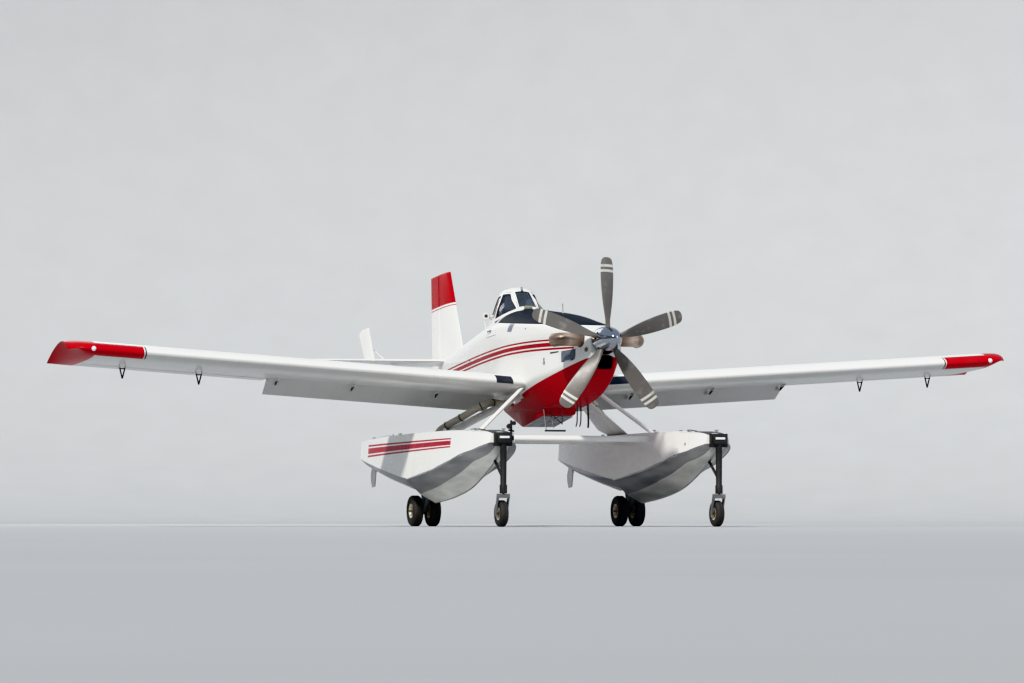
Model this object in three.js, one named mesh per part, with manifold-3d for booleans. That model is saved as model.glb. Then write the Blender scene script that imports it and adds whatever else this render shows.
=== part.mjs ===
// Single-engine turboprop firefighting floatplane on twin amphibious floats, parked on its wheels.
//
// Two frames are used, both in millimetres with x to port, y aft and z up.
// Airframe frame: y from the spinner's tip, z from the propeller's axis.
// Ground frame: y from below the spinner's tip, z from the floor. Floats and gear are drawn in it.
// The airframe stands nose up by PARKED_PITCH over the level floats.

import * as THREE from "three";
import { mergeVertices } from "three/addons/utils/BufferGeometryUtils.js";
import Module from "manifold-3d";

const wasm = await Module();
wasm.setup();

// Driving dimensions
const PARKED_PITCH = THREE.MathUtils.degToRad(3);
const AXIS_HEIGHT = 3300; // propeller axis above the floor, at the spinner's tip
const HALF_SPAN = 9020;
const WING_CHORD = 2070;
const WING_LE = 3080;
const WING_LE_HEIGHT = -590; // of the leading edge, carried on to the centreline
const DIHEDRAL = THREE.MathUtils.degToRad(3.78);
const WING_INCIDENCE = THREE.MathUtils.degToRad(3);
const PROP_RADIUS = 1460;
const PROP_PLANE = 420;
const BLADES = 5;
const FLOAT_X = 2000; // float centreline from the aircraft's centreline
const BOW_FRONT = 150; // front of the bow boxes
const TRAILING_EDGE = 10870; // of the rudder
const FIN_TOP = 2225;
const GAP = 0.4; // between pieces that rest on each other
const CLEAR = 8; // between a moving piece and its neighbour

// Halfway from the spinner's tip to the rudder's top corner
const MID_LENGTH =
  (TRAILING_EDGE * Math.cos(PARKED_PITCH) + FIN_TOP * Math.sin(PARKED_PITCH)) / 2;

const SIDES = [
  ["left", 1],
  ["right", -1],
];

// Paint and bare materials
const paint = (color, roughness, metalness = 0) =>
  new THREE.MeshStandardMaterial({ color, roughness, metalness });
const WHITE = paint(0xf2f1ec, 0.32);
const RED = paint(0xc3141c, 0.3);
const BLACK = paint(0x17181a, 0.6);
const RUBBER = paint(0x1c1c1d, 0.85);
const BRONZE = paint(0x6d4a36, 0.45, 0.8);
const CHROME = paint(0xd9dcdf, 0.1, 1);
const ALUMINIUM = paint(0xa9adb0, 0.4, 0.9);
const BLADE_GREY = paint(0x8f8c86, 0.4, 0.4);
const STEEL = paint(0x5a5d60, 0.5, 0.8);
const CLOTH = paint(0x3c4046, 0.9);
const GLASS = new THREE.MeshStandardMaterial({
  color: 0x2a3a4a,
  roughness: 0.05,
  transparent: true,
  opacity: 0.35,
});

// A closed geometry becomes a solid for joining and cutting, turned face out if it was made inside out
function solidOf(geometry) {
  const open = geometry.index ? geometry.toNonIndexed() : geometry;
  const bare = new THREE.BufferGeometry();
  bare.setAttribute("position", open.getAttribute("position"));
  const merged = mergeVertices(bare, 0.01);
  const make = (triangles) =>
    new wasm.Manifold(
      new wasm.Mesh({
        numProp: 3,
        vertProperties: new Float32Array(merged.attributes.position.array),
        triVerts: new Uint32Array(triangles),
      }),
    );
  const solid = make(merged.index.array);
  return solid.volume() > 0 ? solid : make([...merged.index.array].reverse());
}

function geometryOf(solid) {
  const mesh = solid.getMesh();
  const geometry = new THREE.BufferGeometry();
  geometry.setAttribute(
    "position",
    new THREE.BufferAttribute(new Float32Array(mesh.vertProperties), 3),
  );
  geometry.setIndex(new THREE.BufferAttribute(new Uint32Array(mesh.triVerts), 1));
  geometry.computeVertexNormals();
  return geometry;
}

const join = (...solids) => solids.reduce((whole, next) => whole.add(next));
const cut = (solid, ...tools) => tools.reduce((left, tool) => left.subtract(tool), solid);

function box(x0, x1, y0, y1, z0, z1) {
  const geometry = new THREE.BoxGeometry(x1 - x0, y1 - y0, z1 - z0);
  geometry.translate((x0 + x1) / 2, (y0 + y1) / 2, (z0 + z1) / 2);
  return solidOf(geometry);
}

// A round bar between two points
function bar(from, to, radius, sides = 12, endRadius = radius) {
  const a = new THREE.Vector3(...from);
  const b = new THREE.Vector3(...to);
  const geometry = new THREE.CylinderGeometry(endRadius, radius, a.distanceTo(b), sides);
  const along = b.clone().sub(a).normalize();
  const turn = new THREE.Quaternion().setFromUnitVectors(new THREE.Vector3(0, 1, 0), along);
  geometry.applyQuaternion(turn);
  const middle = a.clone().add(b).multiplyScalar(0.5);
  geometry.translate(middle.x, middle.y, middle.z);
  return solidOf(geometry);
}

const signedArea = (points) => THREE.ShapeUtils.area(points);
const TIE = 1e-6; // how much longer a diagonal may be and still count as equal

// A flat cap over a ring of points, as index triples in the ring's own turning sense
function capOf(ring) {
  const normal = new THREE.Vector3();
  ring.forEach((p, i) => {
    const q = ring[(i + 1) % ring.length];
    normal.x += (p.y - q.y) * (p.z + q.z);
    normal.y += (p.z - q.z) * (p.x + q.x);
    normal.z += (p.x - q.x) * (p.y + q.y);
  });
  const size = [Math.abs(normal.x), Math.abs(normal.y), Math.abs(normal.z)];
  const drop = size.indexOf(Math.max(...size));
  const flat = ring.map((p) => {
    const kept = [p.x, p.y, p.z].filter((_, axis) => axis !== drop);
    return new THREE.Vector2(...kept);
  });
  const faces = THREE.ShapeUtils.triangulateShape(flat, []);
  const facesArea = faces.reduce((sum, f) => sum + signedArea(f.map((i) => flat[i])), 0);
  const same = Math.sign(facesArea) === Math.sign(signedArea(flat));
  return same ? faces : faces.map(([a, b, c]) => [a, c, b]);
}

// A closed solid through rings of equal point count, each ring a list of [x, y, z].
// Each four-sided face is split along its shorter diagonal, so that mirrored sides match.
function loft(rings) {
  const count = rings[0].length;
  const points = rings.map((ring) => ring.map((p) => new THREE.Vector3(...p)));
  const all = points.flat();
  const position = all.flatMap((p) => [p.x, p.y, p.z]);
  const index = [];
  for (let i = 0; i + 1 < rings.length; i++) {
    for (let j = 0; j < count; j++) {
      const k = (j + 1) % count;
      const [a, b] = [i * count + j, i * count + k];
      const [c, d] = [a + count, b + count];
      const straight = all[a].distanceTo(all[d]) < all[b].distanceTo(all[c]) + TIE;
      index.push(...(straight ? [a, b, d, a, d, c] : [a, b, c, b, d, c]));
    }
  }
  const last = (rings.length - 1) * count;
  capOf(points[0]).forEach(([a, b, c]) => index.push(a, c, b));
  capOf(points.at(-1)).forEach(([a, b, c]) => index.push(last + a, last + b, last + c));
  const geometry = new THREE.BufferGeometry();
  geometry.setAttribute("position", new THREE.Float32BufferAttribute(position, 3));
  geometry.setIndex(index);
  return solidOf(geometry);
}

// A prism: an outline in the (y, z) plane carried between two x positions
const sidePrism = (outline, x0, x1) =>
  loft([x0, x1].map((x) => outline.map(([y, z]) => [x, y, z])));

// A ring through a half outline of [x, z] points, from the top centre to the bottom centre, and its mirror
function mirrorRing(half, y, centre = 0) {
  const port = half.map(([x, z]) => [centre + x, y, z]);
  const starboard = half
    .slice(1, -1)
    .reverse()
    .map(([x, z]) => [centre - x, y, z]);
  return [...port, ...starboard];
}

// Points round a ring or bow of a lathe profile that closes on itself
const turned = (profile, segments) =>
  solidOf(new THREE.LatheGeometry(profile.map(([r, h]) => new THREE.Vector2(r, h)), segments));

// Groups
const aircraft = new THREE.Group();
const airframe = new THREE.Group();
const ground = new THREE.Group();
airframe.rotation.x = -PARKED_PITCH;
airframe.position.set(0, -MID_LENGTH, AXIS_HEIGHT);
ground.position.set(0, -MID_LENGTH, 0);
aircraft.add(airframe, ground);

function place(parent, name, solid, material, about) {
  const mesh = new THREE.Mesh(geometryOf(solid), material);
  mesh.name = name;
  if (about) {
    mesh.geometry.translate(-about[0], -about[1], -about[2]);
  }
  parent.add(mesh);
  return mesh;
}

// A moving body's group: its origin lies on the hinge line and its own x axis runs along it
function hinge(parent, name, at, along) {
  const pivot = new THREE.Group();
  pivot.name = name;
  pivot.position.set(...at);
  pivot.quaternion.setFromUnitVectors(
    new THREE.Vector3(1, 0, 0),
    new THREE.Vector3(...along).normalize(),
  );
  parent.add(pivot);
  return pivot;
}

// Hangs a solid, drawn in the parent's frame, on a hinge and swings it by an angle about the hinge
function hang(pivot, name, solid, material, swing = 0) {
  const mesh = new THREE.Mesh(geometryOf(solid), material);
  mesh.name = name;
  pivot.updateMatrix();
  mesh.geometry.applyMatrix4(pivot.matrix.clone().invert());
  mesh.rotation.x = swing;
  pivot.add(mesh);
  return mesh;
}

// A point of the airframe frame, carried into the ground frame
function toGround([x, y, z]) {
  const [c, s] = [Math.cos(PARKED_PITCH), Math.sin(PARKED_PITCH)];
  return [x, y * c + z * s, z * c - y * s + AXIS_HEIGHT];
}

// The airframe frame's solids, carried into the ground frame
const intoGround = (solid) =>
  solid
    .rotate([-THREE.MathUtils.radToDeg(PARKED_PITCH), 0, 0])
    .translate([0, 0, AXIS_HEIGHT]);

// Fuselage: one loft, cut into its real sections.
// Columns: station, half width, top, shoulder, lower corner of the side, belly, belly's half width
const FUSELAGE = [
  [600, 262, 262, 0, -205, -440, 150],
  [720, 318, 296, 20, -270, -590, 195],
  [1000, 385, 360, 80, -312, -730, 225],
  [1600, 490, 475, 190, -385, -890, 275],
  [2680, 640, 687, 400, -505, -1010, 330],
  [3650, 680, 838, 520, -620, -1010, 340],
  [4600, 670, 965, 520, -680, -960, 330],
  [5300, 640, 960, 480, -640, -870, 320],
  [6300, 560, 860, 420, -440, -640, 280],
  [7500, 430, 750, 350, -200, -370, 200],
  [8900, 270, 610, 300, 20, -90, 120],
  [10200, 95, 520, 330, 180, 110, 50],
];
const BETWEEN = 2; // steps from one row of the fuselage's table to the next
const ARC_STEPS = 7;

// A table's rows with further rows between them, on a smooth curve through every column
function smoothed(rows, steps) {
  const slope = (i, k) => {
    const [a, b] = [rows[Math.max(i - 1, 0)], rows[Math.min(i + 1, rows.length - 1)]];
    return (b[k] - a[k]) / (b[0] - a[0]);
  };
  const between = (i, k, t) => {
    const span = rows[i + 1][0] - rows[i][0];
    const ends = (2 * t ** 3 - 3 * t ** 2 + 1) * rows[i][k] + (3 * t ** 2 - 2 * t ** 3) * rows[i + 1][k];
    const start = (t ** 3 - 2 * t ** 2 + t) * slope(i, k);
    return ends + span * (start + (t ** 3 - t ** 2) * slope(i + 1, k));
  };
  const inner = rows.slice(0, -1).flatMap((row, i) =>
    Array.from({ length: steps }, (_, n) => {
      const t = n / steps;
      return row.map((value, k) => (k ? between(i, k, t) : value + t * (rows[i + 1][0] - value)));
    }),
  );
  return [...inner, rows.at(-1)];
}

// A section: an elliptical top from crest to shoulder, straight sides and a flat belly
function fuselageRing([y, w, top, shoulder, corner, belly, bellyW], grow) {
  const half = [];
  for (let k = 0; k <= ARC_STEPS; k++) {
    const t = (k / ARC_STEPS) * (Math.PI / 2);
    half.push([(w + grow) * Math.sin(t), shoulder + (top + grow - shoulder) * Math.cos(t)]);
  }
  half.push([w + grow, corner], [bellyW + grow, belly - grow], [0, belly - grow]);
  return mirrorRing(half, y);
}

// The whole fuselage, grown by a distance, as far as a last station, and its stretch between two
const fuselageWhole = (grow, last = Infinity) =>
  loft(
    smoothed(FUSELAGE, BETWEEN)
      .filter(([y]) => y <= last)
      .map((row) => fuselageRing(row, grow)),
  );

const fuselageBetween = (front, back, grow = 0) =>
  fuselageWhole(grow).intersect(box(-1000, 1000, front, back, -2000, 2000));

const COWL_FRONT = 600;
const FIREWALL = 2680;
const COCKPIT_FRONT = 4500;
const COCKPIT_BACK = 6300;
const TAIL_END = 10200;
const COWL_WALL = 14;
const fuselageGrown = fuselageWhole(GAP);

// The red paint's upper edge, where the lower cowl's panels part from the side panels
const PAINT_LINE = [
  [COWL_FRONT - 50, -170],
  [1600, -360],
  [3300, -560],
];

function addNose() {
  const outer = fuselageBetween(COWL_FRONT, FIREWALL - GAP);
  const inner = fuselageBetween(COWL_FRONT + 40, FIREWALL + 200, -COWL_WALL);
  const shaftHole = bar([0, COWL_FRONT - 50, 0], [0, COWL_FRONT + 90, 0], 140, 20);
  const inlet = loft(
    [COWL_FRONT - 60, COWL_FRONT + 100].map((y) => [
      [-105, y, -250],
      [105, y, -250],
      [165, y, -290],
      [125, y, -500],
      [-125, y, -500],
      [-165, y, -290],
    ]),
  );
  const stackHole = bar([-700, EXHAUST.y, EXHAUST.z], [700, EXHAUST.y, EXHAUST.z], 138, 16);
  const shell = cut(outer, inner, shaftHole, inlet, stackHole);
  const below = (drop) =>
    sidePrism(
      [
        ...PAINT_LINE.map(([y, z]) => [y, z - drop]),
        [3300, -1500],
        [COWL_FRONT - 50, -1500],
      ],
      -900,
      900,
    );
  place(airframe, "cowl_lower", shell.intersect(below(GAP)), RED);
  place(airframe, "cowl_upper", shell.subtract(below(0)), WHITE);
  const core = join(
    bar([0, 760, 0], [0, 1500, 0], 200, 20),
    bar([0, 1500 - GAP, 0], [0, FIREWALL - 2 * GAP, 0], 235, 20),
  );
  place(airframe, "engine", core, STEEL);
}

// Exhaust stacks: out through the cowl's side and bent aft, with open mouths
const EXHAUST = { y: 880, z: 45, radius: 120, wall: 8, root: 215, bend: 180, out: 757, mouth: 1085 };

function addExhausts() {
  const { y, z, radius, wall, root, bend, out, mouth } = EXHAUST;
  SIDES.forEach(([side, sign]) => {
    const path = new THREE.CurvePath();
    const at = (x, aft) => new THREE.Vector3(sign * x, aft, z);
    path.add(new THREE.LineCurve3(at(root, y), at(out - bend, y)));
    path.add(
      new THREE.QuadraticBezierCurve3(at(out - bend, y), at(out, y), at(out + 10, y + bend)),
    );
    path.add(new THREE.LineCurve3(at(out + 10, y + bend), at(out + 20, mouth)));
    const ring = new THREE.Shape().absarc(0, 0, radius, 0, 2 * Math.PI);
    ring.holes.push(new THREE.Path().absarc(0, 0, radius - wall, 0, 2 * Math.PI, true));
    const tube = new THREE.ExtrudeGeometry(ring, {
      steps: 9,
      curveSegments: 7,
      extrudePath: path,
    });
    place(airframe, "exhaust_" + side, cut(solidOf(tube), engineSpace()), BRONZE);
  });
}

const engineSpace = () => bar([0, 700, 0], [0, 1500, 0], 206, 20);

// Propeller: hub, shaft and blades in one piece, and the spinner's shell round the hub.
// Columns: radius, chord, thickness, blade angle in degrees
const BLADE = [
  [90, 112, 108, 50],
  [250, 118, 96, 48],
  [400, 196, 46, 42],
  [650, 262, 32, 32],
  [950, 290, 23, 24],
  [1250, 276, 16, 18],
  [1400, 226, 11, 15],
  [1448, 146, 8, 14],
  [PROP_RADIUS, 62, 6, 14],
];
const BLADE_OUTLINE = [
  [0.5, 0],
  [0.38, 0.34],
  [0.15, 0.5],
  [-0.15, 0.42],
  [-0.38, 0.2],
  [-0.5, 0],
  [-0.38, -0.14],
  [-0.15, -0.3],
  [0.15, -0.38],
  [0.38, -0.28],
];
const SPINNER = { radius: 248, length: 590, wall: 8, hole: 72, sides: 24 };

function blade(turn) {
  const rings = BLADE.map(([radius, chord, thick, angle]) => {
    const pitch = THREE.MathUtils.degToRad(angle);
    return BLADE_OUTLINE.map(([c, t]) => {
      const [u, v] = [-c * chord, -t * thick];
      const across = u * Math.cos(pitch) - v * Math.sin(pitch);
      const ahead = u * Math.sin(pitch) + v * Math.cos(pitch);
      return [
        across * Math.cos(turn) + radius * Math.sin(turn),
        PROP_PLANE + ahead,
        radius * Math.cos(turn) - across * Math.sin(turn),
      ];
    });
  });
  return loft(rings);
}

function addPropeller() {
  const spin = hinge(airframe, "propeller_spin", [0, PROP_PLANE, 0], [0, -1, 0]);
  const turns = Array.from({ length: BLADES }, (_, i) => (i * 2 * Math.PI) / BLADES);
  const hub = join(
    bar([0, 250, 0], [0, 560, 0], 120, 15),
    bar([0, 540, 0], [0, 760 - 6, 0], 62, 12),
  );
  hang(spin, "propeller", join(hub, ...turns.map(blade)), BLADE_GREY);
  const cone = (r, tip, base, steps) => {
    const curve = Array.from({ length: steps + 1 }, (_, i) => {
      const t = i / steps;
      return [r * Math.sqrt(1 - (1 - t) ** 1.9), tip + (base - tip) * t];
    });
    curve[0][0] = 0;
    return turned([...curve, [0, base]].reverse(), SPINNER.sides);
  };
  const outer = cone(SPINNER.radius, 0, SPINNER.length, 8);
  const inner = cone(SPINNER.radius - SPINNER.wall, 26, SPINNER.length + 40, 5);
  const holes = turns.map((turn) =>
    bar(
      [100 * Math.sin(turn), PROP_PLANE, 100 * Math.cos(turn)],
      [400 * Math.sin(turn), PROP_PLANE, 400 * Math.cos(turn)],
      SPINNER.hole,
      10,
    ),
  );
  const backplate = bar([0, 562, 0], [0, 575, 0], SPINNER.radius - SPINNER.wall + 4, SPINNER.sides);
  const shaftHole = bar([0, 500, 0], [0, 600, 0], 66, 12);
  const shell = cut(join(cut(outer, inner), backplate), shaftHole, ...holes);
  hang(spin, "spinner", shell, CHROME);
}

// Canopy: a faceted loft over the cockpit.
// Columns: station, sill x and z, middle x and z, roof corner x and z, crown x and z, top
const CANOPY = [
  [4640, 210, 800, 208, 880, 205, 930, 100, 945, 950],
  [4830, 345, 775, 290, 950, 200, 1030, 100, 1050, 1056],
  [5040, 500, 720, 400, 1020, 195, 1235, 100, 1256, 1262],
  [5170, 505, 711, 411, 1025, 172, 1350, 100, 1372, 1380],
  [5330, 510, 700, 425, 1030, 285, 1375, 140, 1440, 1452],
  [5600, 480, 700, 410, 1020, 275, 1385, 140, 1452, 1468],
  [5900, 420, 680, 345, 980, 235, 1300, 125, 1365, 1380],
  [6500, 330, 660, 250, 800, 170, 920, 90, 950, 960],
  [6950, 280, 600, 215, 690, 150, 760, 80, 785, 790],
];
const CANOPY_WALL = 34;
const PANE = [10, 18]; // depth of a pane's outer and inner face under the canopy's surface
const SILL_DROP = 400; // from the sill down to the foot of the space under the canopy

function canopyLoft(depth) {
  const [bottomDrop, endShift] = depth > 0 ? [SILL_DROP, depth] : [0, 0];
  const last = CANOPY.length - 1;
  return loft(
    CANOPY.map(([y, sillX, sillZ, midX, midZ, cornerX, cornerZ, crownX, crownZ, top], i) => {
      const inset = { 0: endShift * 1.4, [last]: -endShift }[i] ?? 0;
      const half = [
        [0, top - depth],
        [crownX - depth * 0.3, crownZ - depth],
        [cornerX - depth * 0.8, cornerZ - depth * 0.7],
        [midX - depth, midZ - depth * 0.2],
        [sillX - depth, sillZ - bottomDrop],
        [0, sillZ - bottomDrop],
      ];
      return mirrorRing(half, y + inset);
    }),
  );
}

// An outline moved outwards by a distance, or inwards by a negative one
function grown(outline, by) {
  const points = outline.map(([y, z]) => new THREE.Vector2(y, z));
  const turn = Math.sign(signedArea(points));
  const outward = points.map((p, i) => {
    const edge = points[(i + 1) % points.length].clone().sub(p).normalize();
    return new THREE.Vector2(edge.y * turn, -edge.x * turn);
  });
  return points.map((p, i) => {
    const [n1, n2] = [outward.at(i - 1), outward[i]];
    const mitre = n1.clone().add(n2).multiplyScalar(by / (1 + n1.dot(n2)));
    return [p.x + mitre.x, p.y + mitre.y];
  });
}

// Outlines in side view, in the (y, z) plane
const DOOR = { front: 4750, rear: 5375, bottom: 500, top: 1340, hingeX: 682, hingeZ: 494 };
const DOOR_OUTLINE = [
  [DOOR.front, DOOR.bottom],
  [DOOR.front, 965],
  [DOOR.front + 437, DOOR.top],
  [DOOR.rear, DOOR.top],
  [DOOR.rear, DOOR.bottom],
];
const DOOR_WINDOW = [
  [DOOR.front + 58, 991],
  [DOOR.front + 440, 1318],
  [DOOR.rear - 40, 1318],
  [DOOR.rear - 40, 850],
  [DOOR.front + 290, 893],
];
const QUARTER_WINDOW = [
  [DOOR.rear + 62, 905],
  [DOOR.rear + 62, 1312],
  [5760, 1262],
  [6010, 1010],
  [5990, 890],
];

// The door's opening, from a slanting plane beside the windscreen post outwards
const POST = { x: 205, slant: 0.1 };
const doorPrism = (sign, grow) => {
  const outline = grown(DOOR_OUTLINE, grow);
  const inner = (y) => POST.x - (y - DOOR.front) * POST.slant;
  return loft([
    outline.map(([y, z]) => [sign * (inner(y) - grow), y, z]),
    outline.map(([y, z]) => [sign * 900, y, z]),
  ]);
};
const windowPrism = (outline, sign, grow) =>
  sidePrism(grown(outline, grow), sign * 120, sign * 900);

// The flat windscreen pane's opening, seen from above: a strip between its two posts
const SCREEN = { front: 4815, back: 5150, frontHalf: 168, backHalf: 138 };
const screenPrism = (grow) =>
  loft(
    [500, 2000].map((z) => [
      [-SCREEN.frontHalf - grow, SCREEN.front - grow, z],
      [SCREEN.frontHalf + grow, SCREEN.front - grow, z],
      [SCREEN.backHalf + grow, SCREEN.back + grow, z],
      [-SCREEN.backHalf - grow, SCREEN.back + grow, z],
    ]),
  );

// The cabin: inside the fuselage's skin from the floor up, and open towards the canopy
const CABIN = { floor: -80, wall: 60, ledge: 14 };

function cabinSpace() {
  const [front, back] = [COCKPIT_FRONT + CABIN.wall, COCKPIT_BACK - CABIN.wall];
  const below = fuselageWhole(-CABIN.wall, COCKPIT_BACK + 1000);
  const opening = canopyLoft(CANOPY_WALL + CABIN.ledge);
  return join(
    below.intersect(box(-900, 900, front, back, CABIN.floor, 1000)),
    opening.intersect(box(-900, 900, front, back, CABIN.floor, 2000)),
  );
}

function addCabin() {
  const body = fuselageBetween(COCKPIT_FRONT + GAP, COCKPIT_BACK - GAP);
  const space = cabinSpace();
  const tub = cut(body, space, ...SIDES.map(([, sign]) => doorPrism(sign, CLEAR)));
  place(airframe, "cockpit_tub", tub, WHITE);

  const wall = cut(canopyLoft(0), canopyLoft(CANOPY_WALL));
  const overFuselage = (solid) => solid.subtract(fuselageGrown);
  const openings = [screenPrism(0)];
  SIDES.forEach(([, sign]) => {
    openings.push(windowPrism(QUARTER_WINDOW, sign, 0), doorPrism(sign, CLEAR));
  });
  place(airframe, "canopy_frame", cut(overFuselage(wall), ...openings), WHITE);

  const glassLayer = overFuselage(cut(canopyLoft(PANE[0]), canopyLoft(PANE[1])));
  place(airframe, "windscreen", glassLayer.intersect(screenPrism(-GAP)), GLASS);
  const skin = join(cut(body, space), cut(wall, fuselageBetween(COCKPIT_FRONT, COCKPIT_BACK, -2)));
  SIDES.forEach(([side, sign]) => {
    const pane = (outline) => glassLayer.intersect(windowPrism(outline, sign, -GAP));
    place(airframe, "quarter_window_" + side, pane(QUARTER_WINDOW), GLASS);
    const door = cut(skin.intersect(doorPrism(sign, 0)), windowPrism(DOOR_WINDOW, sign, 0));
    const pivot = hinge(
      airframe,
      "door_hinge_" + side,
      [sign * DOOR.hingeX, (DOOR.front + DOOR.rear) / 2, DOOR.hingeZ],
      [0, sign, 0],
    );
    hang(pivot, "door_" + side, door, WHITE);
    hang(pivot, "door_window_" + side, pane(DOOR_WINDOW), GLASS);
  });
}

// Seat, panel and stick stand on the cabin's floor
const SEAT = { front: 5130, back: 5570, half: 235, top: 330 };

function addCockpitFittings() {
  const floor = CABIN.floor + GAP;
  const S = SEAT;
  const reclined = loft(
    [-S.half, S.half].map((x) => [
      [x, S.back - 80, S.top - 60],
      [x, S.back, S.top - 60],
      [x, S.back + 150, 1000],
      [x, S.back + 70, 1000],
    ]),
  );
  const seat = join(
    box(-S.half, S.half, S.front, S.back - 20, S.top - 120, S.top),
    reclined,
    box(-120, 120, S.back + 75, S.back + 150, 980, 1180),
    box(-150, 150, S.front + 80, S.back - 60, floor, S.top - 100),
  );
  place(airframe, "seat", seat, CLOTH);
  const [panelFront, panelBack] = [COCKPIT_FRONT + CABIN.wall + GAP, 4700];
  const panel = join(
    box(-400, 400, panelFront, panelBack, 420, 780),
    box(-30, 30, panelFront, panelBack - 30, floor, 440),
  );
  place(airframe, "instrument_panel", panel, BLACK);
  const stick = join(
    box(-90, 90, 4900, 5080, floor, floor + 40),
    bar([0, 4990, floor + 30], [0, 5010, 470], 16, 8),
    bar([0, 5010, 460], [0, 4995, 590], 24, 8),
  );
  place(airframe, "control_stick", stick, BLACK);
}

// Aerofoil of the wing, in fractions of the chord
const MAX_CAMBER = 0.03;
const CAMBER_AT = 0.4;
const THICKNESS = 0.15;
const FOIL_STATIONS = [1, 0.86, 0.7, 0.5, 0.34, 0.2, 0.1, 0.045, 0.012, 0];

function foilAt(x) {
  const camber =
    x < CAMBER_AT
      ? (MAX_CAMBER / CAMBER_AT ** 2) * (2 * CAMBER_AT * x - x * x)
      : (MAX_CAMBER / (1 - CAMBER_AT) ** 2) * (1 - 2 * CAMBER_AT + 2 * CAMBER_AT * x - x * x);
  const half =
    5 * THICKNESS *
    (0.2969 * Math.sqrt(x) - 0.126 * x - 0.3516 * x ** 2 + 0.2843 * x ** 3 - 0.1015 * x ** 4);
  return [camber + half, camber - half];
}

// A wing section as [y, z] from the trailing edge over the top and back underneath
function wingSection(frontTrim = 0, undersideLift = 0) {
  const over = [];
  const under = [];
  FOIL_STATIONS.forEach((x) => {
    const [up, down] = foilAt(x);
    const raised = down + (up - down) * undersideLift;
    const y = (x + (1 - x) * frontTrim) * WING_CHORD;
    over.push([y, up * WING_CHORD]);
    if (x > 0) {
      under.push([y, Math.min(raised, up - 0.0015) * WING_CHORD]);
    }
  });
  const [c, s] = [Math.cos(WING_INCIDENCE), Math.sin(WING_INCIDENCE)];
  return [...over, ...under.reverse()].map(([y, z]) => [y * c + z * s, z * c - y * s]);
}

const leadingEdgeAt = (x) => WING_LE_HEIGHT + Math.abs(x) * Math.tan(DIHEDRAL);

const wingRing = (x, section) =>
  section.map(([y, z]) => [x, WING_LE + y, leadingEdgeAt(x) + z]);

// A point of the wing's lower or upper surface in the airframe frame, at span x and chord fraction f
function wingPoint(x, f, surface) {
  const [up, down] = foilAt(f);
  const height = { top: up, bottom: down, middle: (up + down) / 2 }[surface] * WING_CHORD;
  const [c, s] = [Math.cos(WING_INCIDENCE), Math.sin(WING_INCIDENCE)];
  const y = f * WING_CHORD;
  return [x, WING_LE + y * c + height * s, leadingEdgeAt(x) + height * c - y * s];
}

// Control surfaces on the wing: spans along x, hinge's chord fraction, rest and cove shape
const FLAP = { from: 745, to: 5020, cove: 0.7, hinge: 0.735, drop: 95, rest: 26 };
const AILERON = { from: 5060, to: 8440, hinge: 0.765, nose: 62 };
const TIP_FROM = 8500;
const HINGE_ARMS = { flap: [1900, 3500, 4930], aileron: [6430, 7830] };
const EAR_OFFSET = 26; // of a flap's ear, inboard of the wing's bracket

function wingBlock(side, sign) {
  const whole = loft([560, 4800, TIP_FROM].map((x) => wingRing(sign * x, wingSection())));
  return cut(whole, fuselageGrown);
}

// The slice of the wing behind a chord fraction, between two span positions
function behind(sign, from, to, fraction, shift = 0) {
  const rings = [from, to].map((x) => {
    const [, y, z] = wingPoint(sign * x, fraction, "middle");
    return [
      [sign * x, y + shift, z - 500],
      [sign * x, y + shift, z + 500],
      [sign * x, y + 1500, z + 500],
      [sign * x, y + 1500, z - 500],
    ];
  });
  return loft(rings);
}

// A thin upright bracket hanging under the wing, with its foot let into the surface
function hingeArm(sign, x, fraction, point, thickness) {
  const [, y0, z0] = wingPoint(sign * x, fraction - 0.14, "bottom");
  const [, y1, z1] = wingPoint(sign * x, fraction - 0.02, "bottom");
  const [y2, z2] = [point[1], point[2]];
  return sidePrism(
    [
      [y0, z0 + 12],
      [y1, z1 + 12],
      [y2 + 18, z2 + 4],
      [y2 + 6, z2 - 18],
      [y2 - 16, z2 - 14],
    ],
    sign * x - thickness / 2,
    sign * x + thickness / 2,
  );
}

// The open V-shaped arm that hangs below the aileron's hinge
function balanceArm(sign, x) {
  const [, y, z] = wingPoint(sign * x, 0.58, "bottom");
  const reach = 235;
  const legs = [-62, 62].map((half) =>
    bar([sign * x + half, y, z + 12], [sign * x, y + 20, z - reach], 13, 6),
  );
  return join(...legs, bar([sign * x - 50, y, z - 60], [sign * x + 50, y, z - 60], 10, 6));
}

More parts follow.
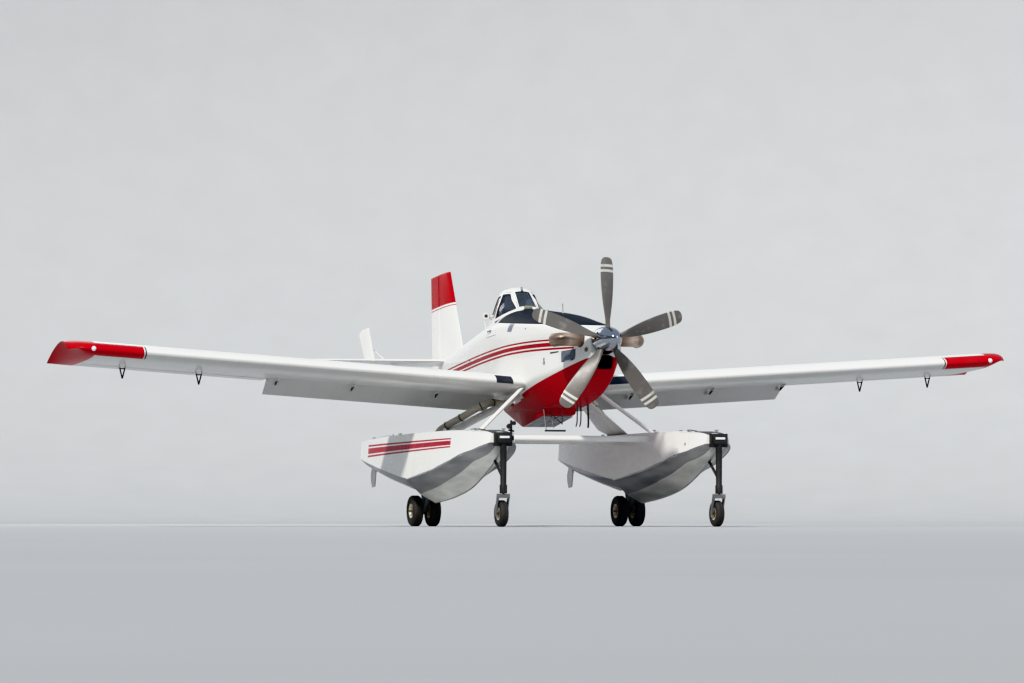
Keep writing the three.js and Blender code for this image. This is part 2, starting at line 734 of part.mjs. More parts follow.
function addWing([side, sign]) {
  const block = wingBlock(side, sign);
  const flapCove = behind(sign, FLAP.from - CLEAR, AILERON.from, FLAP.cove, -CLEAR);
  const aileronHinge = (x) => wingPoint(sign * x, AILERON.hinge, "middle");
  const aileronCove = behind(
    sign,
    AILERON.from - CLEAR,
    AILERON.to + 2 * CLEAR,
    AILERON.hinge,
    -AILERON.nose - 2 * CLEAR,
  );

  const flapHinge = (x) => {
    const point = wingPoint(sign * x, FLAP.hinge, "bottom");
    return [point[0], point[1], point[2] - FLAP.drop];
  };
  const arms = [
    ...HINGE_ARMS.flap.map((x) => hingeArm(sign, x, FLAP.cove, flapHinge(x), 16)),
    ...HINGE_ARMS.aileron.map((x) => balanceArm(sign, x)),
  ];
  const wing = join(cut(block, flapCove, aileronCove), wingTip(sign), ...arms);
  place(airframe, "wing_" + side, wing, WHITE);

  // Flap: the wing's own rear slice with a rounded nose, hung on low brackets
  const flapNose = (x) => {
    const [, y, z] = wingPoint(sign * x, FLAP.cove, "middle");
    return [sign * x, y, z];
  };
  const slice = block.intersect(behind(sign, FLAP.from, FLAP.to, FLAP.cove, 0));
  const noseTrim = loft(
    [FLAP.from - 50, FLAP.to + 50].map((x) => {
      const [px, y, z] = flapNose(x);
      return [
        [px, y - 60, z - 200],
        [px, y + 62, z - 200],
        [px, y + 3, z - 34],
        [px, y + 3, z + 20],
        [px, y + 110, z + 200],
        [px, y - 60, z + 200],
      ];
    }),
  );
  const ears = HINGE_ARMS.flap.map((x) => {
    const [hx, hy, hz] = flapHinge(x - EAR_OFFSET);
    const [, y1, z1] = wingPoint(sign * x, FLAP.hinge + 0.02, "bottom");
    const [, y2, z2] = wingPoint(sign * x, FLAP.hinge + 0.1, "bottom");
    return sidePrism(
      [
        [hy - 16, hz - 8],
        [hy + 14, hz - 16],
        [y2, z2 + 10],
        [y1, z1 + 10],
      ],
      hx - 6,
      hx + 6,
    );
  });
  const [inner, outer] = [flapHinge(FLAP.from), flapHinge(FLAP.to)];
  const along = outer.map((value, axis) => (value - inner[axis]) * sign);
  const flapPivot = hinge(airframe, "flap_hinge_" + side, inner, along);
  hang(
    flapPivot,
    "flap_" + side,
    join(slice.subtract(noseTrim), ...ears),
    WHITE,
    THREE.MathUtils.degToRad(-FLAP.rest),
  );

  // Aileron: round nose centred on its hinge
  const rear = block.intersect(behind(sign, AILERON.from, AILERON.to, AILERON.hinge, 0));
  const [from, to] = [aileronHinge(AILERON.from), aileronHinge(AILERON.to)];
  const noseBar = bar(from, to, AILERON.nose, 16);
  const ends = [AILERON.from, AILERON.to].map((x) => sign * x).sort((a, b) => a - b);
  const nose = cut(
    noseBar.intersect(block).intersect(box(...ends, 2000, 7000, -2000, 2000)),
    behind(sign, AILERON.from - 100, AILERON.to + 100, AILERON.hinge, 20),
  );
  const aileronAlong = to.map((value, axis) => (value - from[axis]) * sign);
  const aileronPivot = hinge(airframe, "aileron_hinge_" + side, from, aileronAlong);
  hang(aileronPivot, "aileron_" + side, join(rear, nose), WHITE);
}

// The tip: rounded leading corner and an underside that sweeps up to the top surface's edge.
// Columns: span position, leading edge trim, underside lift
const TIP = [
  [TIP_FROM - 20, 0, 0],
  [8680, 0.008, 0.08],
  [8850, 0.04, 0.42],
  [8960, 0.09, 0.78],
  [HALF_SPAN, 0.15, 0.97],
];

const wingTip = (sign) =>
  loft(TIP.map(([x, trim, lift]) => wingRing(sign * x, wingSection(trim, lift))));

// Tail surfaces: flat-sided streamlined slabs.
// A section of a symmetrical slab as [along chord, half thickness] from nose to tail
const SLAB = [
  [0, 0],
  [0.03, 0.36],
  [0.14, 0.8],
  [0.34, 1],
  [0.7, 0.62],
  [1, 0.07],
];

function slabRing(front, back, half, map) {
  const outline = [
    ...SLAB.map(([c, t]) => [front + (back - front) * c, t * half]),
    ...SLAB.slice(1)
      .reverse()
      .map(([c, t]) => [front + (back - front) * c, -t * half]),
  ];
  return outline.map(([y, t]) => map(y, t));
}

const TAIL = {
  finRootLE: 8780, finRootZ: 560, finTopLE: 9600, top: FIN_TOP, trailing: TRAILING_EDGE,
  rudderHinge: 10235, rudderFoot: 215, finHalf: 75, nose: 46,
  stabZ: 450, stabHalfSpan: 2880, stabLE: 9560, stabTipLE: 9700, stabHinge: 10270,
  stabHalf: 62, elevatorTE: 10840, elevatorFrom: 130, elevatorRoot: 345, elevatorNose: 42,
};

function addTail() {
  const T = TAIL;
  const finLE = (z) => {
    const t = (z - T.finRootZ) / (T.top - T.finRootZ);
    return T.finRootLE + (T.finTopLE - T.finRootLE) * t;
  };
  const upright = (z, half) => slabRing(finLE(z), T.trailing, half, (y, t) => [t, y, z]);
  const finFoot = 300;
  const whole = loft([upright(finFoot, T.finHalf), upright(T.top, T.finHalf * 0.8)]);
  const rearOf = (y, from, to) => box(-400, 400, y, 12000, from, to);
  const finSolid = cut(
    whole,
    rearOf(T.rudderHinge - T.nose - CLEAR, 0, 3000),
    fuselageGrown,
    plankGrown(),
  );
  place(airframe, "fin", finSolid, WHITE);

  const rudderBlade = loft([
    slabRing(finLE(T.finRootZ), T.trailing, T.finHalf, (y, t) => [t, y, T.rudderFoot]),
    upright(T.top - 4, T.finHalf * 0.8),
  ]).intersect(rearOf(T.rudderHinge, 0, 3000));
  const rudderNose = bar(
    [0, T.rudderHinge, T.rudderFoot],
    [0, T.rudderHinge, T.top - 4],
    T.nose,
    14,
    T.nose * 0.84,
  );
  const rudderPivot = hinge(airframe, "rudder_hinge", [0, T.rudderHinge, 1200], [0, 0, 1]);
  hang(rudderPivot, "rudder", join(rudderBlade, rudderNose), WHITE);

  // Stabiliser through the tail cone, with its elevators behind
  const stabLE = (x) =>
    T.stabLE + ((T.stabTipLE - T.stabLE) * Math.abs(x)) / T.stabHalfSpan;
  const level = (x, half, back = T.elevatorTE) =>
    slabRing(stabLE(x), back, half, (y, t) => [x, y, T.stabZ + t]);
  const tips = [-T.stabHalfSpan, -T.stabHalfSpan * 0.97, 0, T.stabHalfSpan * 0.97, T.stabHalfSpan];
  const plank = loft(
    tips.map((x) => {
      const atTip = Math.abs(x) === T.stabHalfSpan;
      const half = T.stabHalf * (1 - (0.3 * Math.abs(x)) / T.stabHalfSpan) * (atTip ? 0.45 : 1);
      return level(x, half, atTip ? T.elevatorTE - 60 : T.elevatorTE);
    }),
  );
  const hingeCut = T.stabHinge - T.elevatorNose - CLEAR;
  const spar = cut(plank, box(-4000, 4000, hingeCut, 12000, 0, 1000));
  const rudderRoom = box(-T.nose - 26, T.nose + 26, T.rudderHinge - 110, 12000, 0, 1000);
  const fittings = SIDES.flatMap(([, sign]) => [finlet(sign), stabStrut(sign)]);
  place(airframe, "stabilizer", join(cut(spar, rudderRoom), ...fittings), WHITE);

  SIDES.forEach(([side, sign]) => {
    const behindHinge = loft(
      [0, 1000].map((z) => [
        [sign * T.elevatorFrom, T.stabHinge, z],
        [sign * T.stabHalfSpan * 0.96, T.stabHinge, z],
        [sign * T.stabHalfSpan * 0.96, 11000, z],
        [sign * T.elevatorRoot, 11000, z],
      ]),
    );
    const nose = bar(
      [sign * T.elevatorFrom, T.stabHinge, T.stabZ],
      [sign * T.stabHalfSpan * 0.96, T.stabHinge, T.stabZ],
      T.elevatorNose,
      12,
      T.elevatorNose * 0.74,
    );
    const elevator = join(plank.intersect(behindHinge), nose);
    const pivot =
      airframe.getObjectByName("elevator_hinge") ||
      hinge(airframe, "elevator_hinge", [0, T.stabHinge, T.stabZ], [1, 0, 0]);
    hang(pivot, "elevator_" + side, elevator, WHITE);
  });
}

// Auxiliary fins on the stabiliser, each with an inboard brace
const FINLET = { x: 1575, foot: 490, top: 1120, rootLE: 9640, topLE: 10010, half: 22 };

function finlet(sign) {
  const F = FINLET;
  const ring = (z, front, back) =>
    slabRing(front, back, F.half, (y, t) => [sign * F.x + t, y, z]);
  const blade = loft([
    ring(440, F.rootLE - 30, F.rootLE + 620),
    ring(F.top - 90, F.topLE - 60, F.topLE + 660),
    ring(F.top, F.topLE, F.topLE + 420),
  ]);
  const brace = bar(
    [sign * (F.x - 5), F.rootLE + 330, 760],
    [sign * (F.x - 370), F.rootLE + 330, 430],
    9,
    6,
  );
  const hingeRoom = box(-4000, 4000, TAIL.stabHinge - 70, 12000, 0, 560);
  return cut(join(blade, brace), hingeRoom);
}

function plankGrown() {
  const T = TAIL;
  return loft(
    [-T.stabHalfSpan, 0, T.stabHalfSpan].map((x) => {
      const front = T.stabLE + ((T.stabTipLE - T.stabLE) * Math.abs(x)) / T.stabHalfSpan;
      const half = T.stabHalf * (1 - (0.3 * Math.abs(x)) / T.stabHalfSpan) + GAP;
      return slabRing(front - GAP, T.elevatorTE + GAP, half, (y, t) => [x, y, T.stabZ + t]);
    }),
  );
}

function stabStrut(sign) {
  const strut = strutBetween([sign * 60, 9720, 130], [sign * 1400, 9860, TAIL.stabZ], 70, 24);
  return cut(strut, fuselageGrown);
}

// A streamlined strut between two points: chord runs aft, and thickness across
function strutBetween(from, to, chord, thick, endChord = chord) {
  const a = new THREE.Vector3(...from);
  const b = new THREE.Vector3(...to);
  const along = b.clone().sub(a).normalize();
  const aft = new THREE.Vector3(0, 1, 0);
  aft.addScaledVector(along, -aft.dot(along)).normalize();
  const across = new THREE.Vector3().crossVectors(along, aft);
  const outline = [
    [-0.5, 0],
    [-0.4, 0.34],
    [-0.15, 0.5],
    [0.15, 0.42],
    [0.5, 0.04],
    [0.5, -0.04],
    [0.15, -0.42],
    [-0.15, -0.5],
    [-0.4, -0.34],
  ];
  const ring = (end, size) =>
    outline.map(([c, t]) => {
      const p = end.clone().addScaledVector(aft, c * size).addScaledVector(across, t * thick);
      return [p.x, p.y, p.z];
    });
  return loft([ring(a, chord), ring(b, endChord)]);
}

function addFuselage() {
  const hopper = fuselageBetween(FIREWALL, COCKPIT_FRONT);
  place(airframe, "hopper_bay", hopper, WHITE);
  const aft = cut(
    fuselageBetween(COCKPIT_BACK, TAIL_END),
    plankGrown(),
    box(-400, 400, TAIL.rudderHinge - 110, 12000, -500, 1000),
  );
  place(airframe, "aft_fuselage", aft, WHITE);
}

// The water-drop gate box under the hopper: its bottom slopes down aft, and so do its two doors
const GATE = {
  front: 2960, back: 5600, topHalf: 350, half: 290, doorFront: 3210, doorBack: 4230, doorThick: 16,
  slopeFront: [3080, -1110], slopeBack: [4340, -1245],
};

function gateBottom(y) {
  const [[y0, z0], [y1, z1]] = [GATE.slopeFront, GATE.slopeBack];
  return z0 + ((z1 - z0) * (y - y0)) / (y1 - y0);
}

function addGate() {
  const G = GATE;
  const ring = (y, bottom, half, top = -900) => [
    [-G.topHalf, y, top],
    [G.topHalf, y, top],
    [half, y, bottom],
    [-half, y, bottom],
  ];
  const gate = loft([
    ring(G.front, gateBottom(G.front) + 90, G.half - 20),
    ring(G.slopeFront[0], G.slopeFront[1], G.half),
    ring(G.slopeBack[0], G.slopeBack[1], G.half),
    ring(G.slopeBack[0] + 120, G.slopeBack[1] + 12, G.half - 12),
    ring(G.back, -870, G.half - 60, -600),
  ]);
  place(airframe, "drop_gate", cut(gate, fuselageGrown), RED);
  SIDES.forEach(([side, sign]) => {
    const [inner, outer] = [sign * CLEAR, sign * (G.half - 2)];
    const ends = [G.doorFront, G.doorBack].map((y) => [y, gateBottom(y) - 2 * GAP]);
    const panel = loft(
      ends.map(([y, z]) => [
        [inner, y, z],
        [outer, y, z],
        [outer, y, z - G.doorThick],
        [inner, y, z - G.doorThick],
      ]),
    );
    const [[y0, z0], [y1, z1]] = ends;
    const line = [sign * G.half, (y0 + y1) / 2, (z0 + z1 - G.doorThick) / 2];
    const along = [0, -sign * (y1 - y0), -sign * (z1 - z0)];
    const pivot = hinge(airframe, "gate_door_hinge_" + side, line, along);
    hang(pivot, "gate_door_" + side, panel, ALUMINIUM);
  });
}

// Floats, in the ground frame.
// Columns: station, deck half width, deck, chine half width, chine, crease half width, crease, keel
const FOREBODY = [
  [290, 190, 1612, 235, 1430, 120, 1398, 1386],
  [560, 300, 1642, 335, 1372, 160, 1275, 1205],
  [1200, 430, 1680, 482, 1262, 235, 1140, 940],
  [2000, 480, 1697, 548, 1090, 275, 925, 690],
  [3000, 500, 1697, 566, 960, 290, 735, 530],
  [4200, 500, 1690, 562, 850, 290, 590, 425],
];
const AFTERBODY = [
  [4150, 497, 1690, 550, 880, 270, 655, 520],
  [5600, 480, 1670, 522, 960, 250, 800, 700],
  [7000, 410, 1640, 442, 1120, 210, 990, 900],
  [8000, 310, 1610, 330, 1280, 160, 1160, 1090],
];
const DECK_CROWN = 22;
const WELL = { front: 4270, back: 5330, half: 215, roof: 1040 };

function hull(rows, grow = 0) {
  return (sign) =>
    loft(
      rows.map(([y, deckW, deck, chineW, chine, creaseW, crease, keel]) =>
        mirrorRing(
          [
            [0, deck + DECK_CROWN + grow],
            [deckW + grow, deck + grow],
            [chineW + grow, chine],
            [creaseW + grow, crease - grow],
            [0, keel - grow],
          ],
          y,
          sign * FLOAT_X,
        ),
      ),
    );
}

const floatSolid = (sign, grow = 0) => join(hull(FOREBODY, grow)(sign), hull(AFTERBODY, grow)(sign));

function addFloat([side, sign]) {
  const x = sign * FLOAT_X;
  const well = box(x - WELL.half, x + WELL.half, WELL.front, WELL.back, 0, WELL.roof);
  place(ground, "float_" + side, cut(floatSolid(sign), well), WHITE);
  addNoseGear(side, sign);
  addMainGear(side, sign);
  addWaterRudder(side, sign);
  addFloatStruts(side, sign);
}

// Nose gear: bow box and leg, castering fork, single wheel
const NOSE = {
  boxFront: BOW_FRONT, boxHalf: 155, boxTop: 1640, boxFoot: 1400, swivelY: 220, trail: 110,
  radius: 232, width: 150, head: 640, braceY: 690,
};

function addNoseGear(side, sign) {
  const N = NOSE;
  const x = sign * FLOAT_X;
  const bowBox = join(
    box(x - N.boxHalf, x + N.boxHalf, N.boxFront + 40, FOREBODY[0][0] - GAP, N.boxFoot, N.boxTop),
    box(x - N.boxHalf + 30, x + N.boxHalf - 30, N.boxFront, N.boxFront + 60, 1455, 1600),
  );
  const leg = join(
    bar([x, N.swivelY, N.head], [x, N.swivelY, 1480], 52, 12, 60),
    bar([x, N.swivelY, N.head - 60], [x, N.swivelY, N.head + 90], 66, 12),
    bar([x, N.swivelY, N.head + 190], [x, N.braceY, 1150], 26, 8),
  );
  const pin = bar([x, N.swivelY, 400], [x, N.swivelY, N.head + 60], 27, 12);
  const gear = cut(join(bowBox, leg), floatSolid(sign, GAP), pin);
  place(ground, "nose_gear_" + side, gear, BLACK);

  const caster = hinge(ground, "nose_caster_" + side, [x, N.swivelY, N.head], [0, 0, 1]);
  const axleY = N.swivelY + N.trail;
  const armX = N.width / 2 + 22;
  const arms = [-1, 1].map((s) =>
    loft(
      [s * armX - 11, s * armX + 11].map((ax) => [
        [x + ax, N.swivelY - 45, 545],
        [x + ax, N.swivelY + 45, 545],
        [x + ax, axleY + 42, N.radius + 20],
        [x + ax, axleY + 20, N.radius - 40],
        [x + ax, axleY - 30, N.radius - 36],
        [x + ax, axleY - 44, N.radius + 20],
      ]),
    ),
  );
  const fork = join(
    box(x - armX - 11, x + armX + 11, N.swivelY - 45, N.swivelY + 45, 500, 574),
    bar([x, N.swivelY, 560], [x, N.swivelY, N.head + 50], 24, 12),
    ...arms,
  );
  const axleRoom = bar([x - 200, axleY, N.radius], [x + 200, axleY, N.radius], 21, 12);
  hang(caster, "nose_fork_" + side, cut(fork, axleRoom), STEEL);

  const spin = hinge(ground, "nose_wheel_spin_" + side, [x, axleY, N.radius], [1, 0, 0]);
  const wheel = turned(wheelProfile(N.radius, N.width, 106, 18, armX + 8), WHEEL_SIDES);
  hang(spin, "nose_wheel_" + side, acrossAt(wheel, x, axleY, N.radius), RUBBER);
}

const WHEEL_SIDES = 24;

// A closed wheel profile as [radius, height along the axle]: tyre, rim dish and axle stubs
function wheelProfile(radius, width, rim, axle, reach) {
  const h = width / 2;
  return [
    [0, -reach],
    [axle, -reach],
    [axle, -h * 0.45],
    [rim * 0.85, -h * 0.5],
    [rim, -h * 0.78],
    [rim + (radius - rim) * 0.45, -h],
    [radius - 26, -h * 0.9],
    [radius - 5, -h * 0.55],
    [radius, -h * 0.2],
    [radius, h * 0.2],
    [radius - 5, h * 0.55],
    [radius - 26, h * 0.9],
    [rim + (radius - rim) * 0.45, h],
    [rim, h * 0.78],
    [rim * 0.85, h * 0.5],
    [axle, h * 0.45],
    [axle, reach],
    [0, reach],
  ];
}

// A solid turned about the y axis, laid along x with its middle at a point
const acrossAt = (solid, x, y, z) => solid.rotate([0, 0, -90]).translate([x, y, z]);

// Main gear: trailing leg and shock strut in the well, twin wheels on one live axle
const MAIN = { radius: 285, width: 190, spread: 170, axleY: 4930, pivotY: 4470, pivotZ: 900 };

function addMainGear(side, sign) {
  const M = MAIN;
  const x = sign * FLOAT_X;
  const arm = loft(
    [-46, 46].map((ax) => [
      [x + ax, M.pivotY - 90, WELL.roof - GAP],
      [x + ax, M.pivotY + 110, WELL.roof - GAP],
      [x + ax, M.pivotY + 110, 820],
      [x + ax, M.axleY + 52, M.radius + 66],
      [x + ax, M.axleY + 70, M.radius - 10],
      [x + ax, M.axleY + 20, M.radius - 66],
      [x + ax, M.axleY - 62, M.radius - 30],
      [x + ax, M.pivotY - 90, 800],
    ]),
  );
  const leg = join(
    arm,
    box(x - 190, x + 190, M.pivotY - 60, M.pivotY + 60, 880, WELL.roof - GAP),
    bar([x, M.axleY - 30, 430], [x, 5150, WELL.roof - 40], 40, 12),
    box(x - 80, x + 80, 5060, 5240, WELL.roof - 90, WELL.roof - GAP),
  );
  const axleRoom = bar([x - 300, M.axleY, M.radius], [x + 300, M.axleY, M.radius], 34, 12);
  place(ground, "main_leg_" + side, cut(leg, axleRoom), STEEL);

  const spin = hinge(ground, "main_wheels_spin_" + side, [x, M.axleY, M.radius], [1, 0, 0]);
  const one = wheelProfile(M.radius, M.width, 125, 28, M.spread);
  const pair = [-M.spread, M.spread].map((offset) =>
    acrossAt(turned(one, WHEEL_SIDES), x + offset, M.axleY, M.radius),
  );
  const trim = box(x - M.spread - 130, x + M.spread + 130, 4000, 6000, 0, 1000);
  hang(spin, "main_wheels_" + side, join(...pair).intersect(trim), RUBBER);
}

// Water rudder: a blade hung behind the stern on a plain pivot
function addWaterRudder(side, sign) {
  const x = sign * FLOAT_X;
  const pivotY = 8075;
  const post = hinge(ground, "water_rudder_hinge_" + side, [x, pivotY, 1250], [0, 0, 1]);
  const blade = loft(
    [-9, 9].map((ax) => [
      [x + ax, pivotY - 20, 1420],
      [x + ax, pivotY + 90, 1420],
      [x + ax, pivotY + 330, 980],
      [x + ax, pivotY + 240, 740],
      [x + ax, pivotY + 60, 760],
      [x + ax, pivotY - 20, 1060],
    ]),
  );
  const stem = bar([x, pivotY, 1040], [x, pivotY, 1500], 24, 10);
  hang(post, "water_rudder_" + side, join(blade, stem), ALUMINIUM);
}

// Struts from the fuselage to the deck, and the spreader bars between the floats
const STRUTS = {
  front: { top: [620, 3235, -575], foot: [1730, 2650, 1700], chord: 125, thick: 74, topChord: 125 },
  rear: { top: [500, 3560, -700], foot: [1790, 4740, 1690], chord: 1150, thick: 90, topChord: 380 },
};
const SPREADERS = [
  ["front", 2400, 1580, 55],
  ["rear", 4215, 1565, 50],
];

function addFloatStruts(side, sign) {
  const mirror = ([x, y, z]) => [sign * x, y, z];
  Object.entries(STRUTS).forEach(([end, { top, foot, chord, thick, topChord }]) => {
    const head = toGround(mirror(top));
    const base = mirror([foot[0], foot[1], foot[2] - 60]);
    const strut = strutBetween(base, head, chord, thick, topChord);
    const trimmed = cut(strut, floatSolid(sign, GAP), intoGround(fuselageGrown), wingSpace(sign));
    place(ground, end + "_strut_" + side, trimmed, WHITE);
  });
}

// The wing's own space in the ground frame, grown a little
const wingSpace = (sign) =>
  intoGround(
    loft(
      [400, 2000].map((x) =>
        wingRing(sign * x, wingSection()).map(([px, y, z], i, ring) => [
          px,
          y,
          z + (i > ring.length / 2 ? -GAP : GAP),
        ]),
      ),
    ),
  );

function addSpreaders() {
  SPREADERS.forEach(([end, y, z, radius]) => {
    const rod = bar([-FLOAT_X, y, z], [FLOAT_X, y, z], radius, 16);
    const trimmed = cut(rod, floatSolid(1, GAP), floatSolid(-1, GAP));
    place(ground, "spreader_" + end, trimmed, WHITE);
  });
}

addNose();
addExhausts();
addPropeller();
addFuselage();
addGate();
addCabin();
addCockpitFittings();
SIDES.forEach(addWing);
addTail();
SIDES.forEach(addFloat);
addSpreaders();

export default aircraft;
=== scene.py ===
"""Looks of a single-seat firefighting floatplane, parked on the wheels of its two amphibious floats."""

import math
from types import SimpleNamespace as Sizes

import bmesh
import bpy
from mathutils import Matrix, Vector
from mathutils.bvhtree import BVHTree


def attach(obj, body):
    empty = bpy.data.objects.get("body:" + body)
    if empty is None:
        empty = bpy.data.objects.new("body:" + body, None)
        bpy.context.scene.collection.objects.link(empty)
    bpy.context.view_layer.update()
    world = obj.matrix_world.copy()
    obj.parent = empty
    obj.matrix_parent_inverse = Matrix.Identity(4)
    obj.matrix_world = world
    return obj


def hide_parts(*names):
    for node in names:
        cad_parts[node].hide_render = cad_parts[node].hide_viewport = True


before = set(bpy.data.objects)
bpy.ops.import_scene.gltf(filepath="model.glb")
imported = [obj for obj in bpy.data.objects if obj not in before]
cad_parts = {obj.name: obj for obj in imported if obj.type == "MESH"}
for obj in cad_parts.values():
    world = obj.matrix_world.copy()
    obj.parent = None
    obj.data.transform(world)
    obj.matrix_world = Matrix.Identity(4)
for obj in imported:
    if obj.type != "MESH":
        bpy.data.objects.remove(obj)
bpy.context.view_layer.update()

# Fuselage: riveted aluminium skins over a steel tube frame, in five sections that butt together.
# Painted white, with a red belly, a red band along each side and a dull black deck ahead of the
# windscreen. The airframe is drawn level, aft from the spinner's tip, and then stood nose up.
PITCH = math.radians(3)
AXIS = 3.3  # propeller axis above the floor, at the spinner's tip
LENGTH, TAIL_TOP = 10.870, 2.225
MIDDLE = (LENGTH * math.cos(PITCH) + TAIL_TOP * math.sin(PITCH)) / 2
NOSE_UP = Matrix.Translation((0, -MIDDLE, AXIS)) @ Matrix.Rotation(-PITCH, 4, "X")
LEVEL = Matrix.Translation((0, -MIDDLE, 0))  # for what stands level on the floor
PLACED = Matrix.Identity(4)  # for what is made where it stands
SIDES = (("left", 1), ("right", -1))
STATIONS = [  # aft, half width, top, shoulder, lower corner, belly, belly's half width
    (0.600, 0.262, 0.262, 0.000, -0.205, -0.440, 0.150),
    (0.720, 0.318, 0.296, 0.020, -0.270, -0.590, 0.195),
    (1.000, 0.385, 0.360, 0.080, -0.312, -0.730, 0.225),
    (1.600, 0.490, 0.475, 0.190, -0.385, -0.890, 0.275),
    (2.680, 0.640, 0.687, 0.400, -0.505, -1.010, 0.330),
    (3.650, 0.680, 0.838, 0.520, -0.620, -1.010, 0.340),
    (4.600, 0.670, 0.965, 0.520, -0.680, -0.960, 0.330),
    (5.300, 0.640, 0.960, 0.480, -0.640, -0.870, 0.320),
    (6.300, 0.560, 0.860, 0.420, -0.440, -0.640, 0.280),
    (7.500, 0.430, 0.750, 0.350, -0.200, -0.370, 0.200),
    (8.900, 0.270, 0.610, 0.300, 0.020, -0.090, 0.120),
    (10.200, 0.095, 0.520, 0.330, 0.180, 0.110, 0.050),
]
FIREWALL, CABIN_FRONT, CABIN_BACK, TAIL_END = 2.680, 4.500, 6.300, 10.200
BUTT = 0.0004  # left between skins that meet


def row_at(table, where):
    """A table's columns at a place along it, on a smooth curve through its rows."""
    last = len(table) - 1
    i = max(k for k in range(last) if k == 0 or table[k][0] <= where)
    span = table[i + 1][0] - table[i][0]
    t = (where - table[i][0]) / span

    def slope(row, column):
        before, after = table[max(row - 1, 0)], table[min(row + 1, last)]
        return (after[column] - before[column]) / (after[0] - before[0])

    def column(k):
        ends = (2 * t**3 - 3 * t**2 + 1) * table[i][k] + (3 * t**2 - 2 * t**3) * table[i + 1][k]
        return ends + span * ((t**3 - 2 * t**2 + t) * slope(i, k) + (t**3 - t**2) * slope(i + 1, k))

    return [column(k) for k in range(1, len(table[0]))]


def spaced(low, high, step):
    """Places from low to high, about a step apart."""
    count = max(1, round((high - low) / step))
    return [low + (high - low) * k / count for k in range(count + 1)]


def eased(points, radius, steps=4):
    """An open outline with its inner corners rounded."""
    out = [Vector(points[0])]
    for row in zip(points, points[1:], points[2:]):
        before, corner, after = (Vector(p) for p in row)
        a = corner + (before - corner).normalized() * min(radius, (before - corner).length / 2)
        b = corner + (after - corner).normalized() * min(radius, (after - corner).length / 2)
        for k in range(steps + 1):
            t = k / steps
            out.append(a * (1 - t) ** 2 + corner * 2 * t * (1 - t) + b * t**2)
    return [*out, Vector(points[-1])]


def both_halves(half, aft, centre=0.0):
    """A ring from half an outline of (out, up), top to bottom, and its mirror image."""
    ring = [(centre + out, aft, up) for out, up in half]
    return ring + [(centre - out, aft, up) for out, up in half[-2:0:-1]]


def fuselage_ring(aft, grow=0.0, arc=20):
    wide, top, shoulder, corner, belly, flat = row_at(STATIONS, aft)
    turn = [k / arc * math.pi / 2 for k in range(arc + 1)]
    crest = [((wide + grow) * math.sin(t), shoulder + (top + grow - shoulder) * math.cos(t)) for t in turn]
    sides = [crest[-1], (wide + grow, corner), (flat + grow, belly - grow), (0, belly - grow)]
    return both_halves(crest[:-1] + eased(sides, 0.05), aft)


def skin(rings):
    """Points and faces of a closed skin through rings of equal point count."""
    count = len(rings[0])
    points = [p for ring in rings for p in ring]
    faces = [tuple(range(count)), tuple(range(len(points) - count, len(points)))]
    for i in range(len(rings) - 1):
        for j in range(count):
            k = (j + 1) % count
            faces.append((i * count + j, i * count + k, (i + 1) * count + k, (i + 1) * count + j))
    return points, faces


def fuselage(front, back, grow=0.0, step=0.06):
    return skin([fuselage_ring(aft, grow) for aft in spaced(front, back, step)])


def linked(name, data):
    """A new object in the scene."""
    obj = bpy.data.objects.new(name, data)
    bpy.context.scene.collection.objects.link(obj)
    return obj


def fresh(name, *shapes):
    """A new mesh object of one or more (points, faces) shapes, its faces turned outwards."""
    mesh = bpy.data.meshes.new(name)
    points, faces = [], []
    for more, rings in shapes:
        faces += [[i + len(points) for i in f] for f in rings]
        points += more
    mesh.from_pydata(points, [], faces)
    work = bmesh.new()
    work.from_mesh(mesh)
    bmesh.ops.remove_doubles(work, verts=work.verts, dist=1e-6)
    bmesh.ops.recalc_face_normals(work, faces=work.faces)
    work.to_mesh(mesh)
    work.free()
    return linked(name, mesh)


def settled(obj):
    """Turns an object's modifiers into plain mesh."""
    shaped = obj.evaluated_get(bpy.context.evaluated_depsgraph_get())
    mesh = bpy.data.meshes.new_from_object(shaped)
    obj.modifiers.clear()
    obj.data = mesh
    return obj


def carved(obj, *tools, how="DIFFERENCE"):
    """Cuts an object by others, which are used up, or by plain (points, faces) shapes."""
    tools = [fresh("tool", tool) if isinstance(tool, tuple) else tool for tool in tools]
    for tool in tools:
        step = obj.modifiers.new("carve", "BOOLEAN")
        step.operation, step.solver, step.object = how, "MANIFOLD", tool
    settled(obj)
    for tool in tools:
        bpy.data.objects.remove(tool)
    return obj


def fitted(obj, material, replaces=(), body="airframe", stance=NOSE_UP, soft_angle=32, bevel=0.0):
    """Puts a finished shape in its place on a body, with its finish."""
    if bevel:
        step = obj.modifiers.new("edges", "BEVEL")
        step.width, step.segments, step.limit_method = bevel, 2, "ANGLE"
        step.angle_limit, step.use_clamp_overlap = math.radians(28), True
        settled(obj)
    obj.data.transform(stance)
    obj.data.shade_smooth()
    obj.data.set_sharp_from_angle(angle=math.radians(soft_angle))
    obj.data.materials.clear()
    obj.data.materials.append(material)
    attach(obj, body)
    if replaces:
        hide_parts(*replaces)
    return obj


